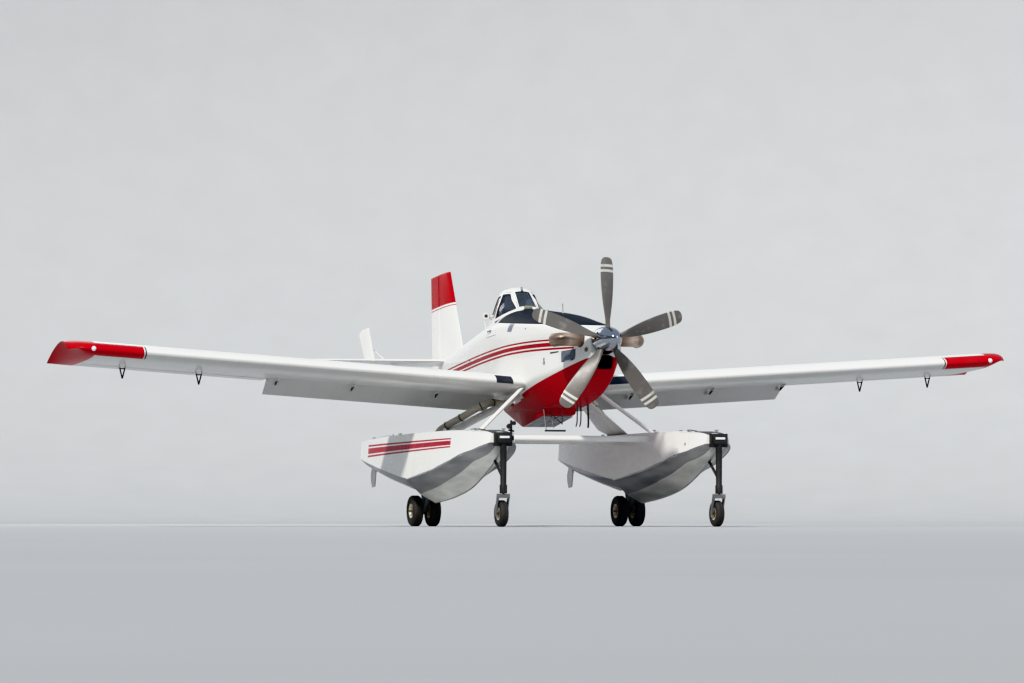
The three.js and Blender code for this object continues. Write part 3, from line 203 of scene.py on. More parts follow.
class Tone:
    """A socket of a material, which Python's own arithmetic works on."""

    def __init__(self, tree, socket):
        self.tree, self.socket = tree, socket

    def node(self, kind, settings=None, sockets=None, out=0):
        """Any node: its settings first, then the values or links of its sockets."""
        made = self.tree.nodes.new(kind)
        for name, value in (settings or {}).items():
            if name == "stops":
                ramp = made.color_ramp
                while len(ramp.elements) < len(value):
                    ramp.elements.new(0.5)
                for element, (at, colour) in zip(ramp.elements, value):
                    element.position, element.color = at, (*colour, 1)
            else:
                setattr(made, name, value)
        for name, value in (sockets or {}).items():
            if isinstance(value, Tone):
                self.tree.links.new(made.inputs[name], value.socket)
            else:
                made.inputs[name].default_value = value
        return Tone(self.tree, made.outputs[out])

    def math(self, operation, *values):
        return self.node("ShaderNodeMath", {"operation": operation}, dict(enumerate(values)))

    def __add__(self, other):
        return self.math("ADD", self, other)

    def __sub__(self, other):
        return self.math("SUBTRACT", self, other)

    def __rsub__(self, other):
        return self.math("SUBTRACT", other, self)

    def __mul__(self, other):
        return self.math("MULTIPLY", self, other)

    def __truediv__(self, other):
        return self.math("DIVIDE", self, other)

    def __abs__(self):
        return self.math("ABSOLUTE", self)

    __radd__, __rmul__ = __add__, __mul__

    def least(self, other):
        return self.math("MINIMUM", self, other)

    def most(self, other):
        return self.math("MAXIMUM", self, other)

    def past(self, limit, blur=0.003):
        """1 where this value is past a limit, 0 short of it."""
        scaled = (self - limit) * (1 / blur) + 0.5
        return scaled.most(0).least(1)

    def within(self, low, high, blur=0.003):
        return self.past(low, blur) * (1 - self.past(high, blur))

    def mix(self, under, over):
        """Two colours mixed by this mask."""
        return self.node("ShaderNodeMix", {"data_type": "RGBA"},
                         {0: self, 6: colour(under), 7: colour(over)}, 2)

    def split(self):
        return [self.node("ShaderNodeSeparateXYZ", {}, {0: self}, k) for k in range(3)]

    def noise(self, scale, detail=3.0, stretch=(1, 1, 1)):
        """Even, soft mottling between 0 and 1."""
        place = self.node("ShaderNodeVectorMath", {"operation": "MULTIPLY"}, {0: self, 1: stretch})
        return place.node("ShaderNodeTexNoise", {}, {"Vector": place, "Scale": scale, "Detail": detail})


def colour(value):
    return value if isinstance(value, Tone) else (*value, 1)


def finish(name, build, **constants):
    """A material. build takes the Object coordinates and returns what varies, by socket name."""
    material = bpy.data.materials.new(name)
    material.use_nodes = True
    tree = material.node_tree
    shader = tree.nodes["Principled BSDF"]
    for socket, value in constants.items():
        shader.inputs[socket.replace("_", " ")].default_value = value
    start = Tone(tree, None)
    place = start.node("ShaderNodeTexCoord", {}, {}, 3)
    varied = build(place)
    bump = varied.pop("Bump", None)
    if bump is not None:
        height, distance = bump
        varied["Normal"] = place.node("ShaderNodeBump", {},
                                      {"Height": height, "Distance": distance, "Strength": 0.6})
    for socket, value in varied.items():
        tree.links.new(shader.inputs[socket], value.socket)
    return material


WHITE, RED, BAND_RED = (0.86, 0.86, 0.84), (0.42, 0.004, 0.009), (0.34, 0.004, 0.012)
DECK_BLACK = (0.012, 0.016, 0.026)


def level_place(place):
    """Out, aft and up on the level airframe, from coordinates in the stance it stands in."""
    out, y, z = place.split()
    c, s = math.cos(PITCH), math.sin(PITCH)
    aft = (y + MIDDLE) * c - (z - AXIS) * s
    up = (y + MIDDLE) * s + (z - AXIS) * c
    return out, aft, up


def paint_wear(place, strength=1.0):
    """Weathered gloss paint: faint mottling, and streaks that run aft."""
    blotches = place.noise(1.3, 4.0)
    streaks = place.noise(3.0, 4.0, (1.0, 0.12, 1.6))
    grime = (blotches * 0.55 + streaks * 0.45 - 0.5) * (0.5 * strength)
    return grime.most(0).least(1)


def skins_paint(place):
    out, aft, up = level_place(place)
    side = abs(out)
    red_under = (-0.200 - aft * 0.147).most(aft * 0.16 - 1.468)
    belly = 1 - (up - red_under).past(0)
    bend = (4.3 - aft).most(0)
    band_top = 0.235 - bend.math("POWER", bend, 1.5) * 0.0243
    depth = band_top - up
    band = depth.within(-0.002, 0.029) + depth.within(0.059, 0.131) + depth.within(0.156, 0.193)
    band = band * aft.within(1.1, 9.6)
    deck = (up - aft * 0.107).past(0.2037) * (1 - aft.past(5.30))
    soot = aft.within(1.0, 5.2, 0.9) * (1 - abs(up - 0.06 - aft * 0.02).past(0.22, 0.3))
    soot = soot * place.noise(4.0, 5.0, (1.0, 0.15, 2.5)) * side.past(0.3, 0.1)
    worn = paint_wear(place)
    base = belly.least(1).mix(WHITE, RED)
    base = (band * (1 - belly)).least(1).mix(base, BAND_RED)
    for seam in (1.62, 3.65, 5.5, 6.9, 8.1, 9.3):
        base = aft.within(seam, seam + 0.003, 0.002).mix(base, (0.28, 0.27, 0.26))
    base = deck.mix(base, DECK_BLACK)
    base = (soot * 0.34 * (1 - band * 0.5)).mix(base, (0.10, 0.075, 0.06))
    base = (worn * 0.5 * (1 - band * 0.8)).mix(base, (0.33, 0.30, 0.26))
    return {"Base Color": base, "Roughness": 0.26 + deck * 0.26 + worn * 0.5,
            "Coat Weight": (1 - deck) * (1 - belly) * (1 - band) * 0.3}


airframe_paint = finish("airframe_paint", skins_paint, Coat_Roughness=0.08, Specular_IOR_Level=0.06)

hopper = fresh("hopper_skin", fuselage(FIREWALL, CABIN_FRONT))
fitted(hopper, airframe_paint, ["hopper_bay"])

# Rear fuselage: one long cone of riveted skins from the cabin aft, cut off square at the tail post.
# It is painted with the rest of the fuselage.


def box_shape(x0, x1, y0, y1, z0, z1):
    return skin([[(x0, y, z0), (x1, y, z0), (x1, y, z1), (x0, y, z1)] for y in (y0, y1)])


aft_shell = fresh("aft_skin", fuselage(CABIN_BACK, TAIL_END))
carved(aft_shell, box_shape(-0.4, 0.4, 10.125, 12, -0.5, 1))
fitted(aft_shell, airframe_paint, ["aft_fuselage"])

# Cowl: thin removable panels round the engine, with a chin inlet, open behind at the firewall.
# The lower half is red and parts from the sides along the paint line.
COWL_FRONT, COWL_SKIN = 0.600, 0.014
EXHAUST = Sizes(aft=0.880, up=0.045, radius=0.120, wall=0.008, root=0.215, bend=0.180, out=0.757, mouth=1.085)
PARTING = [(0.550, -0.170), (1.600, -0.360), (3.300, -0.560)]


def turns(count):
    """Angles at even spacing all round a circle."""
    return [2 * math.pi * k / count for k in range(count)]


def hoop(centre, along, across, radius, sides):
    """A ring of points round a centre, square to a direction."""
    other = along.cross(across)
    return [tuple(centre + (across * math.cos(t) + other * math.sin(t)) * radius) for t in turns(sides)]


def rod(start, end, radius, sides=24, end_radius=None):
    """Points and faces of a round bar between two points."""
    start, end = Vector(start), Vector(end)
    along = (end - start).normalized()
    across = along.orthogonal().normalized()
    far_radius = radius if end_radius is None else end_radius
    return skin([hoop(start, along, across, radius, sides), hoop(end, along, across, far_radius, sides)])


def prism(outline, low, high):
    """An outline of (aft, up) carried from one distance out to another."""
    return skin([[(out, aft, up) for aft, up in outline] for out in (low, high)])


def cowl_shell(name):
    mouth = eased([(0, -0.25), (0.105, -0.25), (0.165, -0.29), (0.125, -0.5), (0, -0.5)], 0.03)
    inlet = skin([both_halves(mouth, aft) for aft in (0.54, 0.70)])
    stacks = rod((-0.7, EXHAUST.aft, EXHAUST.up), (0.7, EXHAUST.aft, EXHAUST.up), 0.138, 48)
    return carved(fresh(name, fuselage(COWL_FRONT, FIREWALL - BUTT, step=0.045)),
                  fuselage(COWL_FRONT + 0.04, FIREWALL + 0.2, -COWL_SKIN),
                  rod((0, 0.5, 0), (0, 0.7, 0), 0.14, 48), inlet, stacks)


def below_parting(drop):
    return prism([(aft, up - drop) for aft, up in PARTING] + [(3.3, -1.5), (0.55, -1.5)], -0.9, 0.9)


lower_cowl = carved(cowl_shell("lower_cowl"), below_parting(BUTT), how="INTERSECT")
fitted(lower_cowl, airframe_paint, ["cowl_lower"])
upper_cowl = carved(cowl_shell("upper_cowl"), below_parting(0))
fitted(upper_cowl, airframe_paint, ["cowl_upper"])

# Exhaust stacks: two elbows of heat-tinted steel pipe. Each starts at the engine's case, comes out
# through its hole in the cowl and bends aft.


def pipe(path, radius, sides=24):
    """Rings round a path of points, each square to it."""
    rings, across = [], None
    for i, point in enumerate(path):
        along = (Vector(path[min(i + 1, len(path) - 1)]) - Vector(path[max(i - 1, 0)])).normalized()
        across = (along.orthogonal() if across is None else across - along * across.dot(along)).normalized()
        r = radius[i] if isinstance(radius, list) else radius
        rings.append(hoop(Vector(point), along, across, r, sides))
    return rings


def exhaust_tint(place):
    out, aft, up = level_place(place)
    heat = place.noise(5.0, 4.0)
    far = (abs(out) - 0.40) * 3.2
    stops = [(0.0, (0.24, 0.175, 0.140)), (0.35, (0.44, 0.325, 0.255)), (0.6, (0.62, 0.50, 0.42)),
             (1.0, (0.30, 0.225, 0.180))]
    tint = place.node("ShaderNodeValToRGB", {"stops": stops}, {0: (far + heat * 0.7 - 0.35).most(0).least(1)})
    return {"Base Color": tint, "Roughness": heat * 0.3 + 0.22}


exhaust_metal = finish("exhaust_metal", exhaust_tint, Metallic=0.6)

for side, hand in SIDES:
    aft, up, out, bend = EXHAUST.aft, EXHAUST.up, EXHAUST.out, EXHAUST.bend
    corner = [Vector((out - bend, aft)), Vector((out, aft)), Vector((out + 0.01, aft + bend))]
    path = [(hand * x, aft, up) for x in spaced(EXHAUST.root, out - bend, 0.05)]
    for k in range(1, 13):
        t = k / 13
        at = corner[0] * (1 - t) ** 2 + corner[1] * 2 * t * (1 - t) + corner[2] * t**2
        path.append((hand * at.x, at.y, up))
    path += [(hand * (out + 0.01), aft + bend, up), (hand * (out + 0.02), EXHAUST.mouth, up)]
    rings = pipe(path, EXHAUST.radius, 40) + pipe(path, EXHAUST.radius - EXHAUST.wall, 40)[::-1]
    points, faces = skin(rings + [rings[0]])
    elbow = fresh("exhaust_stack_" + side, (points, faces[2:]))
    carved(elbow, rod((0, 0.7, 0), (0, 1.5, 0), 0.206, 32))
    fitted(elbow, exhaust_metal, ["exhaust_" + side])

# Propeller: five wide grey blades with two pale bands near each tip, fixed in a steel hub that the
# spinner hides. A blade twists and thins outwards by the rows of its table.
BLADE = [  # radius, chord, thickness, blade angle
    (0.090, 0.112, 0.108, 50), (0.250, 0.118, 0.096, 48), (0.400, 0.196, 0.046, 42),
    (0.650, 0.262, 0.032, 32), (0.950, 0.290, 0.023, 24), (1.250, 0.276, 0.016, 18),
    (1.400, 0.226, 0.011, 15), (1.448, 0.146, 0.008, 14), (1.460, 0.062, 0.006, 14),
]
PROP_PLANE, BLADES = 0.420, 5


def blade(turn):
    rings = []
    for radius in spaced(0.09, 1.40, 0.05)[:-1] + [1.40, 1.42, 1.436, 1.448, 1.456, 1.460]:
        chord, thick, angle = row_at(BLADE, radius)
        pitch, ring = math.radians(angle), []
        for t in turns(28):
            u = -0.5 * chord * math.cos(t)
            v = -thick * math.sin(t) * (0.46 if math.sin(t) > 0 else 0.36) * (1 + 0.25 * math.cos(t))
            across = u * math.cos(pitch) - v * math.sin(pitch)
            ahead = u * math.sin(pitch) + v * math.cos(pitch)
            ring.append((across * math.cos(turn) + radius * math.sin(turn), PROP_PLANE + ahead,
                         radius * math.cos(turn) - across * math.sin(turn)))
        rings.append(ring)
    return skin(rings)


def blade_paint(place):
    out, aft, up = level_place(place)
    radius = (out * out + up * up).math("SQRT", out * out + up * up)
    bands = radius.within(1.20, 1.245) + radius.within(1.29, 1.335)
    wear = place.noise(7.0, 5.0)
    base = bands.mix((0.145, 0.135, 0.125), (0.62, 0.60, 0.55))
    base = ((wear - 0.56) * 3).most(0).least(1).mix(base, (0.30, 0.29, 0.28))
    return {"Base Color": base, "Roughness": wear * 0.25 + 0.3}


blade_finish = finish("blade_finish", blade_paint, Metallic=0.1)
propeller = fresh("propeller_blades", rod((0, 0.25, 0), (0, 0.56, 0), 0.12, 30),
                  rod((0, 0.54, 0), (0, 0.754, 0), 0.062, 24))
for turn in turns(BLADES):
    carved(propeller, blade(turn), how="UNION")
fitted(propeller, blade_finish, ["propeller"], body="propeller_unit")

# Spinner: one spun cone of polished aluminium over the hub, with a round hole for each blade and a
# back plate that it is fixed by. Its metal is darkened and tinted blue-grey as a painted reflection of
# the sky.
SPINNER_R, SPINNER_LONG, SPINNER_SKIN = 0.248, 0.590, 0.008


def spun(profile, sides=72):
    """A closed turn of (radius, aft) points about the propeller's axis."""
    return skin([[(r * math.sin(t), aft, r * math.cos(t)) for t in turns(sides)] for r, aft in profile])


def cone(radius, tip, base):
    steps = [0.0004, 0.006, 0.02, 0.045, 0.08, 0.13, 0.2, 0.28, 0.38, 0.5, 0.62, 0.75, 0.88, 1]
    return spun([(radius * math.sqrt(1 - (1 - t) ** 1.9), tip + (base - tip) * t) for t in steps])


def mottled(name, mottle, under, over, gloss, spread, rough, bump=0.0, **constants):
    """A finish mottled between two colours by one noise, and unevenly glossy or rough by another."""

    def build(place):
        grain = place.noise(*gloss)
        varied = {"Base Color": place.noise(*mottle).mix(under, over), "Roughness": grain * spread + rough}
        if bump:
            varied["Bump"] = (grain, bump)
        return varied

    return finish(name, build, **constants)


# polished metal, darkened and tinted blue-grey: a painted reflection of the sky
sky_tinted_chrome = mottled("polished_spinner_sky_tint", (3.0,), (0.36, 0.39, 0.44), (0.47, 0.50, 0.55),
                 (2.0, 2.0, (1, 40, 1)), 0.08, 0.05, Metallic=1.0)
spinner = fresh("spinner_cone", cone(SPINNER_R, 0, SPINNER_LONG))
carved(spinner, cone(SPINNER_R - SPINNER_SKIN, 0.026, SPINNER_LONG + 0.04))
carved(spinner, rod((0, 0.562, 0), (0, 0.575, 0), SPINNER_R - SPINNER_SKIN + 0.004, 72), how="UNION")
holes = [rod((0.1 * math.sin(t), PROP_PLANE, 0.1 * math.cos(t)),
             (0.4 * math.sin(t), PROP_PLANE, 0.4 * math.cos(t)), 0.072, 32) for t in turns(BLADES)]
carved(spinner, rod((0, 0.5, 0), (0, 0.6, 0), 0.066, 24), *holes)
fitted(spinner, sky_tinted_chrome, ["spinner"], body="propeller_unit", soft_angle=25)

# Cabin: the fuselage's own skins and frames round one seat, 60 mm deep, with a flat floor and an
# opening for each door. The outside is painted with the fuselage, the inside is matt grey.
CABIN = Sizes(floor=-0.080, wall=0.060, ledge=0.014, front=4.560, back=6.240)
CANOPY = [  # aft, then out and up of the sill, the middle, the roof corner and the crown, then the top
    (4.640, 0.210, 0.800, 0.208, 0.880, 0.205, 0.930, 0.100, 0.945, 0.950),
    (4.830, 0.345, 0.775, 0.290, 0.950, 0.200, 1.030, 0.100, 1.050, 1.056),
    (5.040, 0.500, 0.720, 0.400, 1.020, 0.195, 1.235, 0.100, 1.256, 1.262),
    (5.170, 0.505, 0.711, 0.411, 1.025, 0.172, 1.350, 0.100, 1.372, 1.380),
    (5.330, 0.510, 0.700, 0.425, 1.030, 0.285, 1.375, 0.140, 1.440, 1.452),
    (5.600, 0.480, 0.700, 0.410, 1.020, 0.275, 1.385, 0.140, 1.452, 1.468),
    (5.900, 0.420, 0.680, 0.345, 0.980, 0.235, 1.300, 0.125, 1.365, 1.380),
    (6.500, 0.330, 0.660, 0.250, 0.800, 0.170, 0.920, 0.090, 0.950, 0.960),
    (6.950, 0.280, 0.600, 0.215, 0.690, 0.150, 0.760, 0.080, 0.785, 0.790),
]
CANOPY_WALL, PANE, SILL_DROP = 0.034, (0.010, 0.018), 0.400
DOOR_FRONT, DOOR_REAR, DOOR_FOOT, DOOR_TOP, ROOM = 4.750, 5.375, 0.500, 1.340, 0.008
DOOR = [(DOOR_FRONT, DOOR_FOOT), (DOOR_FRONT, 0.965), (DOOR_FRONT + 0.437, DOOR_TOP), (DOOR_REAR, DOOR_TOP),
        (DOOR_REAR, DOOR_FOOT)]
DOOR_WINDOW = [(DOOR_FRONT + 0.058, 0.991), (DOOR_FRONT + 0.440, 1.318), (DOOR_REAR - 0.040, 1.318),
               (DOOR_REAR - 0.040, 0.850), (DOOR_FRONT + 0.290, 0.893)]
QUARTER = [(DOOR_REAR + 0.062, 0.905), (DOOR_REAR + 0.062, 1.312), (5.760, 1.262), (6.010, 1.010),
           (5.990, 0.890)]


def grown(outline, by):
    """An outline of (aft, up) moved outwards, or inwards by a negative distance."""
    points = [Vector(p) for p in outline]
    pairs = list(zip(points, points[1:] + points[:1]))
    turn = math.copysign(1, sum(a.x * b.y - b.x * a.y for a, b in pairs))
    out = [Vector((b - a).normalized().yx) * Vector((turn, -turn)) for a, b in pairs]
    return [tuple(p + (out[i - 1] + out[i]) * (by / (1 + out[i - 1].dot(out[i]))))
            for i, p in enumerate(points)]


def rounded(outline, radius, steps=4):
    """A closed outline with its corners rounded."""
    seam = (Vector(outline[-1]) + Vector(outline[0])) / 2
    return eased([seam, *outline, seam], radius, steps)[:-1]


def canopy(depth):
    """The closed shape of the canopy, at a depth under its surface."""
    drop, shift = (SILL_DROP, depth) if depth > 0 else (0, 0)
    rings = []
    for row in CANOPY:
        aft, sill_x, sill, mid_x, mid, corner_x, corner, crown_x, crown, top = row
        inset = {CANOPY[0]: shift * 1.4, CANOPY[-1]: -shift}.get(row, 0)
        half = eased([(0, top - depth), (crown_x - depth * 0.3, crown - depth),
                      (corner_x - depth * 0.8, corner - depth * 0.7), (mid_x - depth, mid - depth * 0.2),
                      (sill_x - depth, sill - drop), (0, sill - drop)], 0.06)
        rings.append(both_halves(half, aft + inset))
    return fresh("canopy", skin(rings))


def cabin_space():
    rooms = [fresh("space", fuselage(4.4, 7.3, -CABIN.wall)), canopy(CANOPY_WALL + CABIN.ledge)]
    for room, roof in zip(rooms, (1, 2)):
        box = box_shape(-0.9, 0.9, CABIN.front, CABIN.back, CABIN.floor, roof)
        carved(room, box, how="INTERSECT")
    return carved(*rooms, how="UNION")


def body_room(front, back, step=0.1):
    """The room that the fuselage takes, a hair larger than its skin."""
    return fuselage(front, back, BUTT, step)


def door_room(hand, grow):
    """A door's opening, from a slanting plane beside the windscreen's post outwards."""
    outline = rounded(grown(DOOR, grow), 0.03 + grow)
    return skin([[(hand * (0.201 - (aft - DOOR_FRONT) * 0.1 - grow), aft, up) for aft, up in outline],
                 [(hand * 0.9, aft, up) for aft, up in outline]])


def window_room(outline, hand, grow):
    return prism(rounded(grown(outline, grow), 0.035), hand * 0.12, hand * 0.9)


def screen_room(grow):
    """The flat windscreen's opening: a strip between its two posts, seen from above."""
    return skin([[(-0.168 - grow, 4.815 - grow, z), (0.168 + grow, 4.815 - grow, z),
                  (0.138 + grow, 5.150 + grow, z), (-0.138 - grow, 5.150 + grow, z)] for z in (0.5, 2)])


def lined(obj, depth=0.020):
    """Marks the faces that lie deeper than this under the outside of the body and the canopy."""
    marks = obj.data.attributes.new("lining", "FLOAT", "FACE")
    marks.data.foreach_set("value",
                           [float(outside.find_nearest(p.center)[3] > depth) for p in obj.data.polygons])
    return obj


def lining_over(base, place):
    scuffs = place.noise(9.0, 4.0)
    inside = place.node("ShaderNodeAttribute", {"attribute_name": "lining"}, {}, 2)
    return inside.mix(base, scuffs.mix((0.030, 0.032, 0.036), (0.065, 0.068, 0.072)))


def cabin_colours(place):
    out, aft, up = level_place(place)
    # white above the body's crest, whose arch is drawn from its width and shoulder between the stations
    back = aft - 4.6
    across = (out / (0.670 - back * 0.043)).least(1).most(-1)
    arch = 0.445 + back * 0.05
    crest = (1 - across * across).math("SQRT", 1 - across * across) * arch + 0.520 - back * 0.057
    varied = skins_paint(place)
    cage = (up - crest).past(0.010, 0.004) * aft.past(4.6)
    base = cage.mix(varied["Base Color"], (0.88, 0.88, 0.86))
    varied["Base Color"] = lining_over(base, place)
    return varied


whole = carved(fresh("whole", fuselage(4.0, 7.6)), canopy(0), how="UNION")
outside = BVHTree.FromPolygons([v.co for v in whole.data.vertices], [p.vertices for p in whole.data.polygons])
bpy.data.objects.remove(whole)
cabin_paint = finish("cabin_paint", cabin_colours, Coat_Roughness=0.08, Specular_IOR_Level=0.06)
tub = fresh("cabin_skin", fuselage(CABIN_FRONT + BUTT, CABIN_BACK - BUTT))
carved(tub, cabin_space(), door_room(1, ROOM), door_room(-1, ROOM))
fitted(lined(tub), cabin_paint, ["cockpit_tub"])

# Canopy: a welded cage of white-painted frames over the cabin, cut out for the flat windscreen, the
# two doors and a fixed window behind each, and faired down to the rear fuselage's ridge.


def canopy_colours(place):
    worn = paint_wear(place)
    base = (worn * 0.4).mix((0.88, 0.88, 0.86), (0.35, 0.33, 0.30))
    return {"Base Color": lining_over(base, place), "Roughness": 0.25 + worn * 0.4}


canopy_paint = finish("canopy_paint", canopy_colours, Coat_Weight=0.35, Coat_Roughness=0.08)
cage = carved(canopy(0), canopy(CANOPY_WALL))
cage.name = "canopy_cage"
carved(cage, body_room(4.3, 7.5, 0.06), screen_room(0),
       *[window_room(QUARTER, hand, 0) for _, hand in SIDES], *[door_room(hand, ROOM) for _, hand in SIDES])
fitted(lined(cage), canopy_paint, ["canopy_frame"])

# Glazing: clear sheets 8 mm thick, set 10 mm into the frames and held by black rubber seals. Each
# follows the canopy's own surface and is cut to its window's outline.


def clear_sheet(place):
    smears = place.noise(5.0, 5.0, (1, 1, 0.4))
    return {"Base Color": smears.mix((0.22, 0.26, 0.34), (0.36, 0.42, 0.50)),
            "Roughness": (smears - 0.45).most(0) * 0.12 + 0.015}


clear = finish("clear_sheet", clear_sheet, Transmission_Weight=0.88, IOR=1.45)
seal_black = mottled("seal_rubber", (80.0,), (0.012, 0.012, 0.013), (0.03, 0.03, 0.03), (80.0,), 0.2, 0.55)


def pane(name, room):
    sheet = carved(canopy(PANE[0]), canopy(PANE[1]))
    sheet.name = name
    carved(sheet, body_room(4.3, 7.5, 0.06))
    return carved(sheet, room, how="INTERSECT")


def seal(name, outer, inner):
    """A strip round a window's edge, standing a little proud of the frame."""
    strip = carved(canopy(-0.003), canopy(PANE[0] - BUTT))
    strip.name = name
    carved(strip, outer, how="INTERSECT")
    return carved(strip, inner, body_room(4.3, 7.5, 0.06))


fitted(pane("windscreen_sheet", screen_room(-BUTT)), clear, ["windscreen"])
for side, hand in SIDES:
    fitted(pane("quarter_sheet_" + side, window_room(QUARTER, hand, -BUTT)), clear,
           ["quarter_window_" + side])
    fitted(pane("door_sheet_" + side, window_room(DOOR_WINDOW, hand, -BUTT)), clear,
           ["door_window_" + side], body="cockpit_door_" + side)
    fitted(seal("quarter_seal_" + side, window_room(QUARTER, hand, -0.0005),
                window_room(QUARTER, hand, -0.011)), seal_black)
    fitted(seal("door_seal_" + side, window_room(DOOR_WINDOW, hand, -0.0005),
                window_room(DOOR_WINDOW, hand, -0.011)), seal_black,
           body="cockpit_door_" + side)
fitted(seal("screen_seal", screen_room(-0.0005), screen_room(-0.011)), seal_black)

# Doors: each one swings out and down on a long hinge along its foot, with its window in its frame.
# It takes in both the upper part of the fuselage's side and the canopy's side above it.
door_skins = {}


def steel_grey(place):
    brushed = place.noise(25.0, 4.0, (1, 1, 8))
    oil = place.noise(2.5, 4.0)
    base = brushed.mix((0.17, 0.175, 0.18), (0.29, 0.295, 0.30))
    base = ((oil - 0.55) * 4).most(0).least(1).mix(base, (0.06, 0.055, 0.05))
    return {"Base Color": base, "Roughness": brushed * 0.25 + 0.3}


bumper_rubber = mottled("bumper_rubber", (3.5, 4.0), (0.012, 0.012, 0.013), (0.045, 0.044, 0.042),
                        (60.0, 3.0), 0.2, 0.5, 0.0012)
gear_steel = finish("gear_steel", steel_grey, Metallic=0.7)

for side, hand in SIDES:
    shell = carved(fresh("door_skin_" + side, fuselage(CABIN_FRONT + BUTT, CABIN_BACK - BUTT)), cabin_space())
    walls = carved(canopy(0), canopy(CANOPY_WALL), fuselage(CABIN_FRONT, CABIN_BACK, -0.002))
    carved(shell, walls, how="UNION")
    carved(shell, door_room(hand, 0), how="INTERSECT")
    carved(shell, window_room(DOOR_WINDOW, hand, 0))
    door_skins[side] = fitted(lined(shell), cabin_paint, ["door_" + side],
                              body="cockpit_door_" + side)
    lever = fresh("door_lever_" + side,
                  box_shape(hand * 0.655 - 0.008, hand * 0.655 + 0.008, 5.10, 5.27, 0.588, 0.612),
                  rod((hand * 0.60, 5.115, 0.60), (hand * 0.662, 5.115, 0.60), 0.020, 20))
    fitted(lever, gear_steel, body="cockpit_door_" + side, bevel=0.003)

# Seat: a metal bucket with two sewn cloth cushions and a head rest, and a harness of two long straps.
# The cushions are filled covers, so they are blown up by a simulation and then sewn in channels.
SEAT = Sizes(front=5.130, back=5.570, half=0.235, top=0.330)
RECLINE = math.radians(78.5)  # of the seat's back, up from the floor


def woven_cloth(place):
    weave = place.noise(260.0, 2.0) + place.noise(240.0, 1.0, (1, 6, 6)) * 0.5
    wear = place.noise(6.0, 3.0)
    return {"Base Color": wear.mix((0.045, 0.052, 0.065), (0.085, 0.092, 0.10)),
            "Roughness": weave * 0.1 + 0.75, "Bump": (weave, 0.0008)}


def strap_weave(place):
    threads = place.noise(120.0, 2.0, (1, 8, 8))
    return {"Base Color": threads.mix((0.16, 0.15, 0.12), (0.28, 0.26, 0.21)),
            "Bump": (place.noise(300.0, 2.0, (1, 8, 8)), 0.0006)}


cushion_cloth = finish("cushion_cloth", woven_cloth, Sheen_Weight=0.3)
webbing = finish("webbing", strap_weave, Roughness=0.8)


def plumped(name, low, high, stance, cap=0.014):
    """A cushion of a size, with its cover blown up from a slightly smaller block."""
    pad = fresh(name, box_shape(low[0], high[0], low[1], high[1], low[2], high[2]))
    edge = pad.modifiers.new("edge", "BEVEL")
    edge.width, edge.segments = 0.022, 3
    remesh = pad.modifiers.new("weave", "REMESH")
    remesh.mode, remesh.voxel_size = "VOXEL", 0.011
    settled(pad)
    start = [v.co.copy() for v in pad.data.vertices]
    cloth = pad.modifiers.new("filling", "CLOTH")
    cloth.settings.use_pressure = True
    cloth.settings.uniform_pressure_force = 4
    cloth.settings.effector_weights.gravity = 0
    for step in range(1, 21):
        bpy.context.scene.frame_set(step)
    settled(pad)
    bpy.context.scene.frame_set(1)
    for vertex, before in zip(pad.data.vertices, start):
        move = vertex.co - before
        if move.length > cap:
            vertex.co = before + move * (cap / move.length)
    middle = (low[0] + high[0]) / 2
    for vertex in pad.data.vertices:
        across = (vertex.co.x - middle) / (high[0] - low[0])
        channel = min(abs(across - place) for place in (-0.17, 0.17))
        if vertex.co.z > (low[2] + high[2]) / 2:
            vertex.co.z -= 0.010 * max(0, 1 - channel / 0.045) ** 2
    pad.data.transform(stance)
    return pad


bucket = fresh("seat_bucket", box_shape(-SEAT.half, SEAT.half, SEAT.front, SEAT.back - 0.02,
                                        SEAT.top - 0.12, SEAT.top - 0.09),
               prism([(SEAT.back - 0.010, SEAT.top - 0.12), (SEAT.back + 0.012, SEAT.top - 0.12),
                      (SEAT.back + 0.15, 1.0), (SEAT.back + 0.128, 1.0)], -SEAT.half, SEAT.half),
               box_shape(-0.15, 0.15, SEAT.front + 0.08, SEAT.back - 0.06, CABIN.floor + BUTT,
                         SEAT.top - 0.121))
fitted(bucket, gear_steel, ["seat"], bevel=0.004)
base_pad = plumped("seat_base_pad", (-0.205, SEAT.front + 0.02, SEAT.top - 0.075),
                   (0.205, SEAT.back - 0.10, SEAT.top - 0.018), PLACED)
leaning = Matrix.Translation((0, SEAT.back - 0.055, SEAT.top + 0.035)) @ Matrix.Rotation(RECLINE, 4, "X")
back_pad = plumped("seat_back_pad", (-0.205, 0.0, 0.0), (0.205, 0.56, 0.045), leaning)
head_pad = plumped("seat_head_pad", (-0.11, SEAT.back + 0.088, 0.0), (0.11, SEAT.back + 0.135, 0.16),
                   Matrix.Translation((0, 0, 1.01)), 0.010)
for pad in (base_pad, back_pad, head_pad):
    fitted(pad, cushion_cloth, soft_angle=80)
straps = []
for x in (-0.085, 0.085):
    route = [(x, SEAT.back + 0.13, 0.99), (x, SEAT.back + 0.055, 0.985), (x, SEAT.back + 0.015, 0.80),
             (x, SEAT.back - 0.035, 0.60), (x * 0.8, SEAT.back - 0.075, 0.44),
             (x * 0.4, SEAT.back - 0.13, 0.345)]
    straps.append(skin([[(px - 0.022, aft - 0.0015, up), (px + 0.022, aft - 0.0015, up),
                         (px + 0.022, aft + 0.0015, up + 0.001), (px - 0.022, aft + 0.0015, up + 0.001)]
                        for px, aft, up in route]))
fitted(fresh("harness", *straps), webbing)

# Instrument panel: a black board on a foot below the windscreen, with three rows of round dials.
# Each dial's face sits in a turned steel bezel.
face, floor_up = 4.700, CABIN.floor + BUTT
board = fresh("panel_board", box_shape(-0.4, 0.4, CABIN.front + BUTT, face, 0.42, 0.78),
              box_shape(-0.03, 0.03, CABIN.front + BUTT, face - 0.03, floor_up, 0.419))
fitted(board, bumper_rubber, ["instrument_panel"], bevel=0.006)


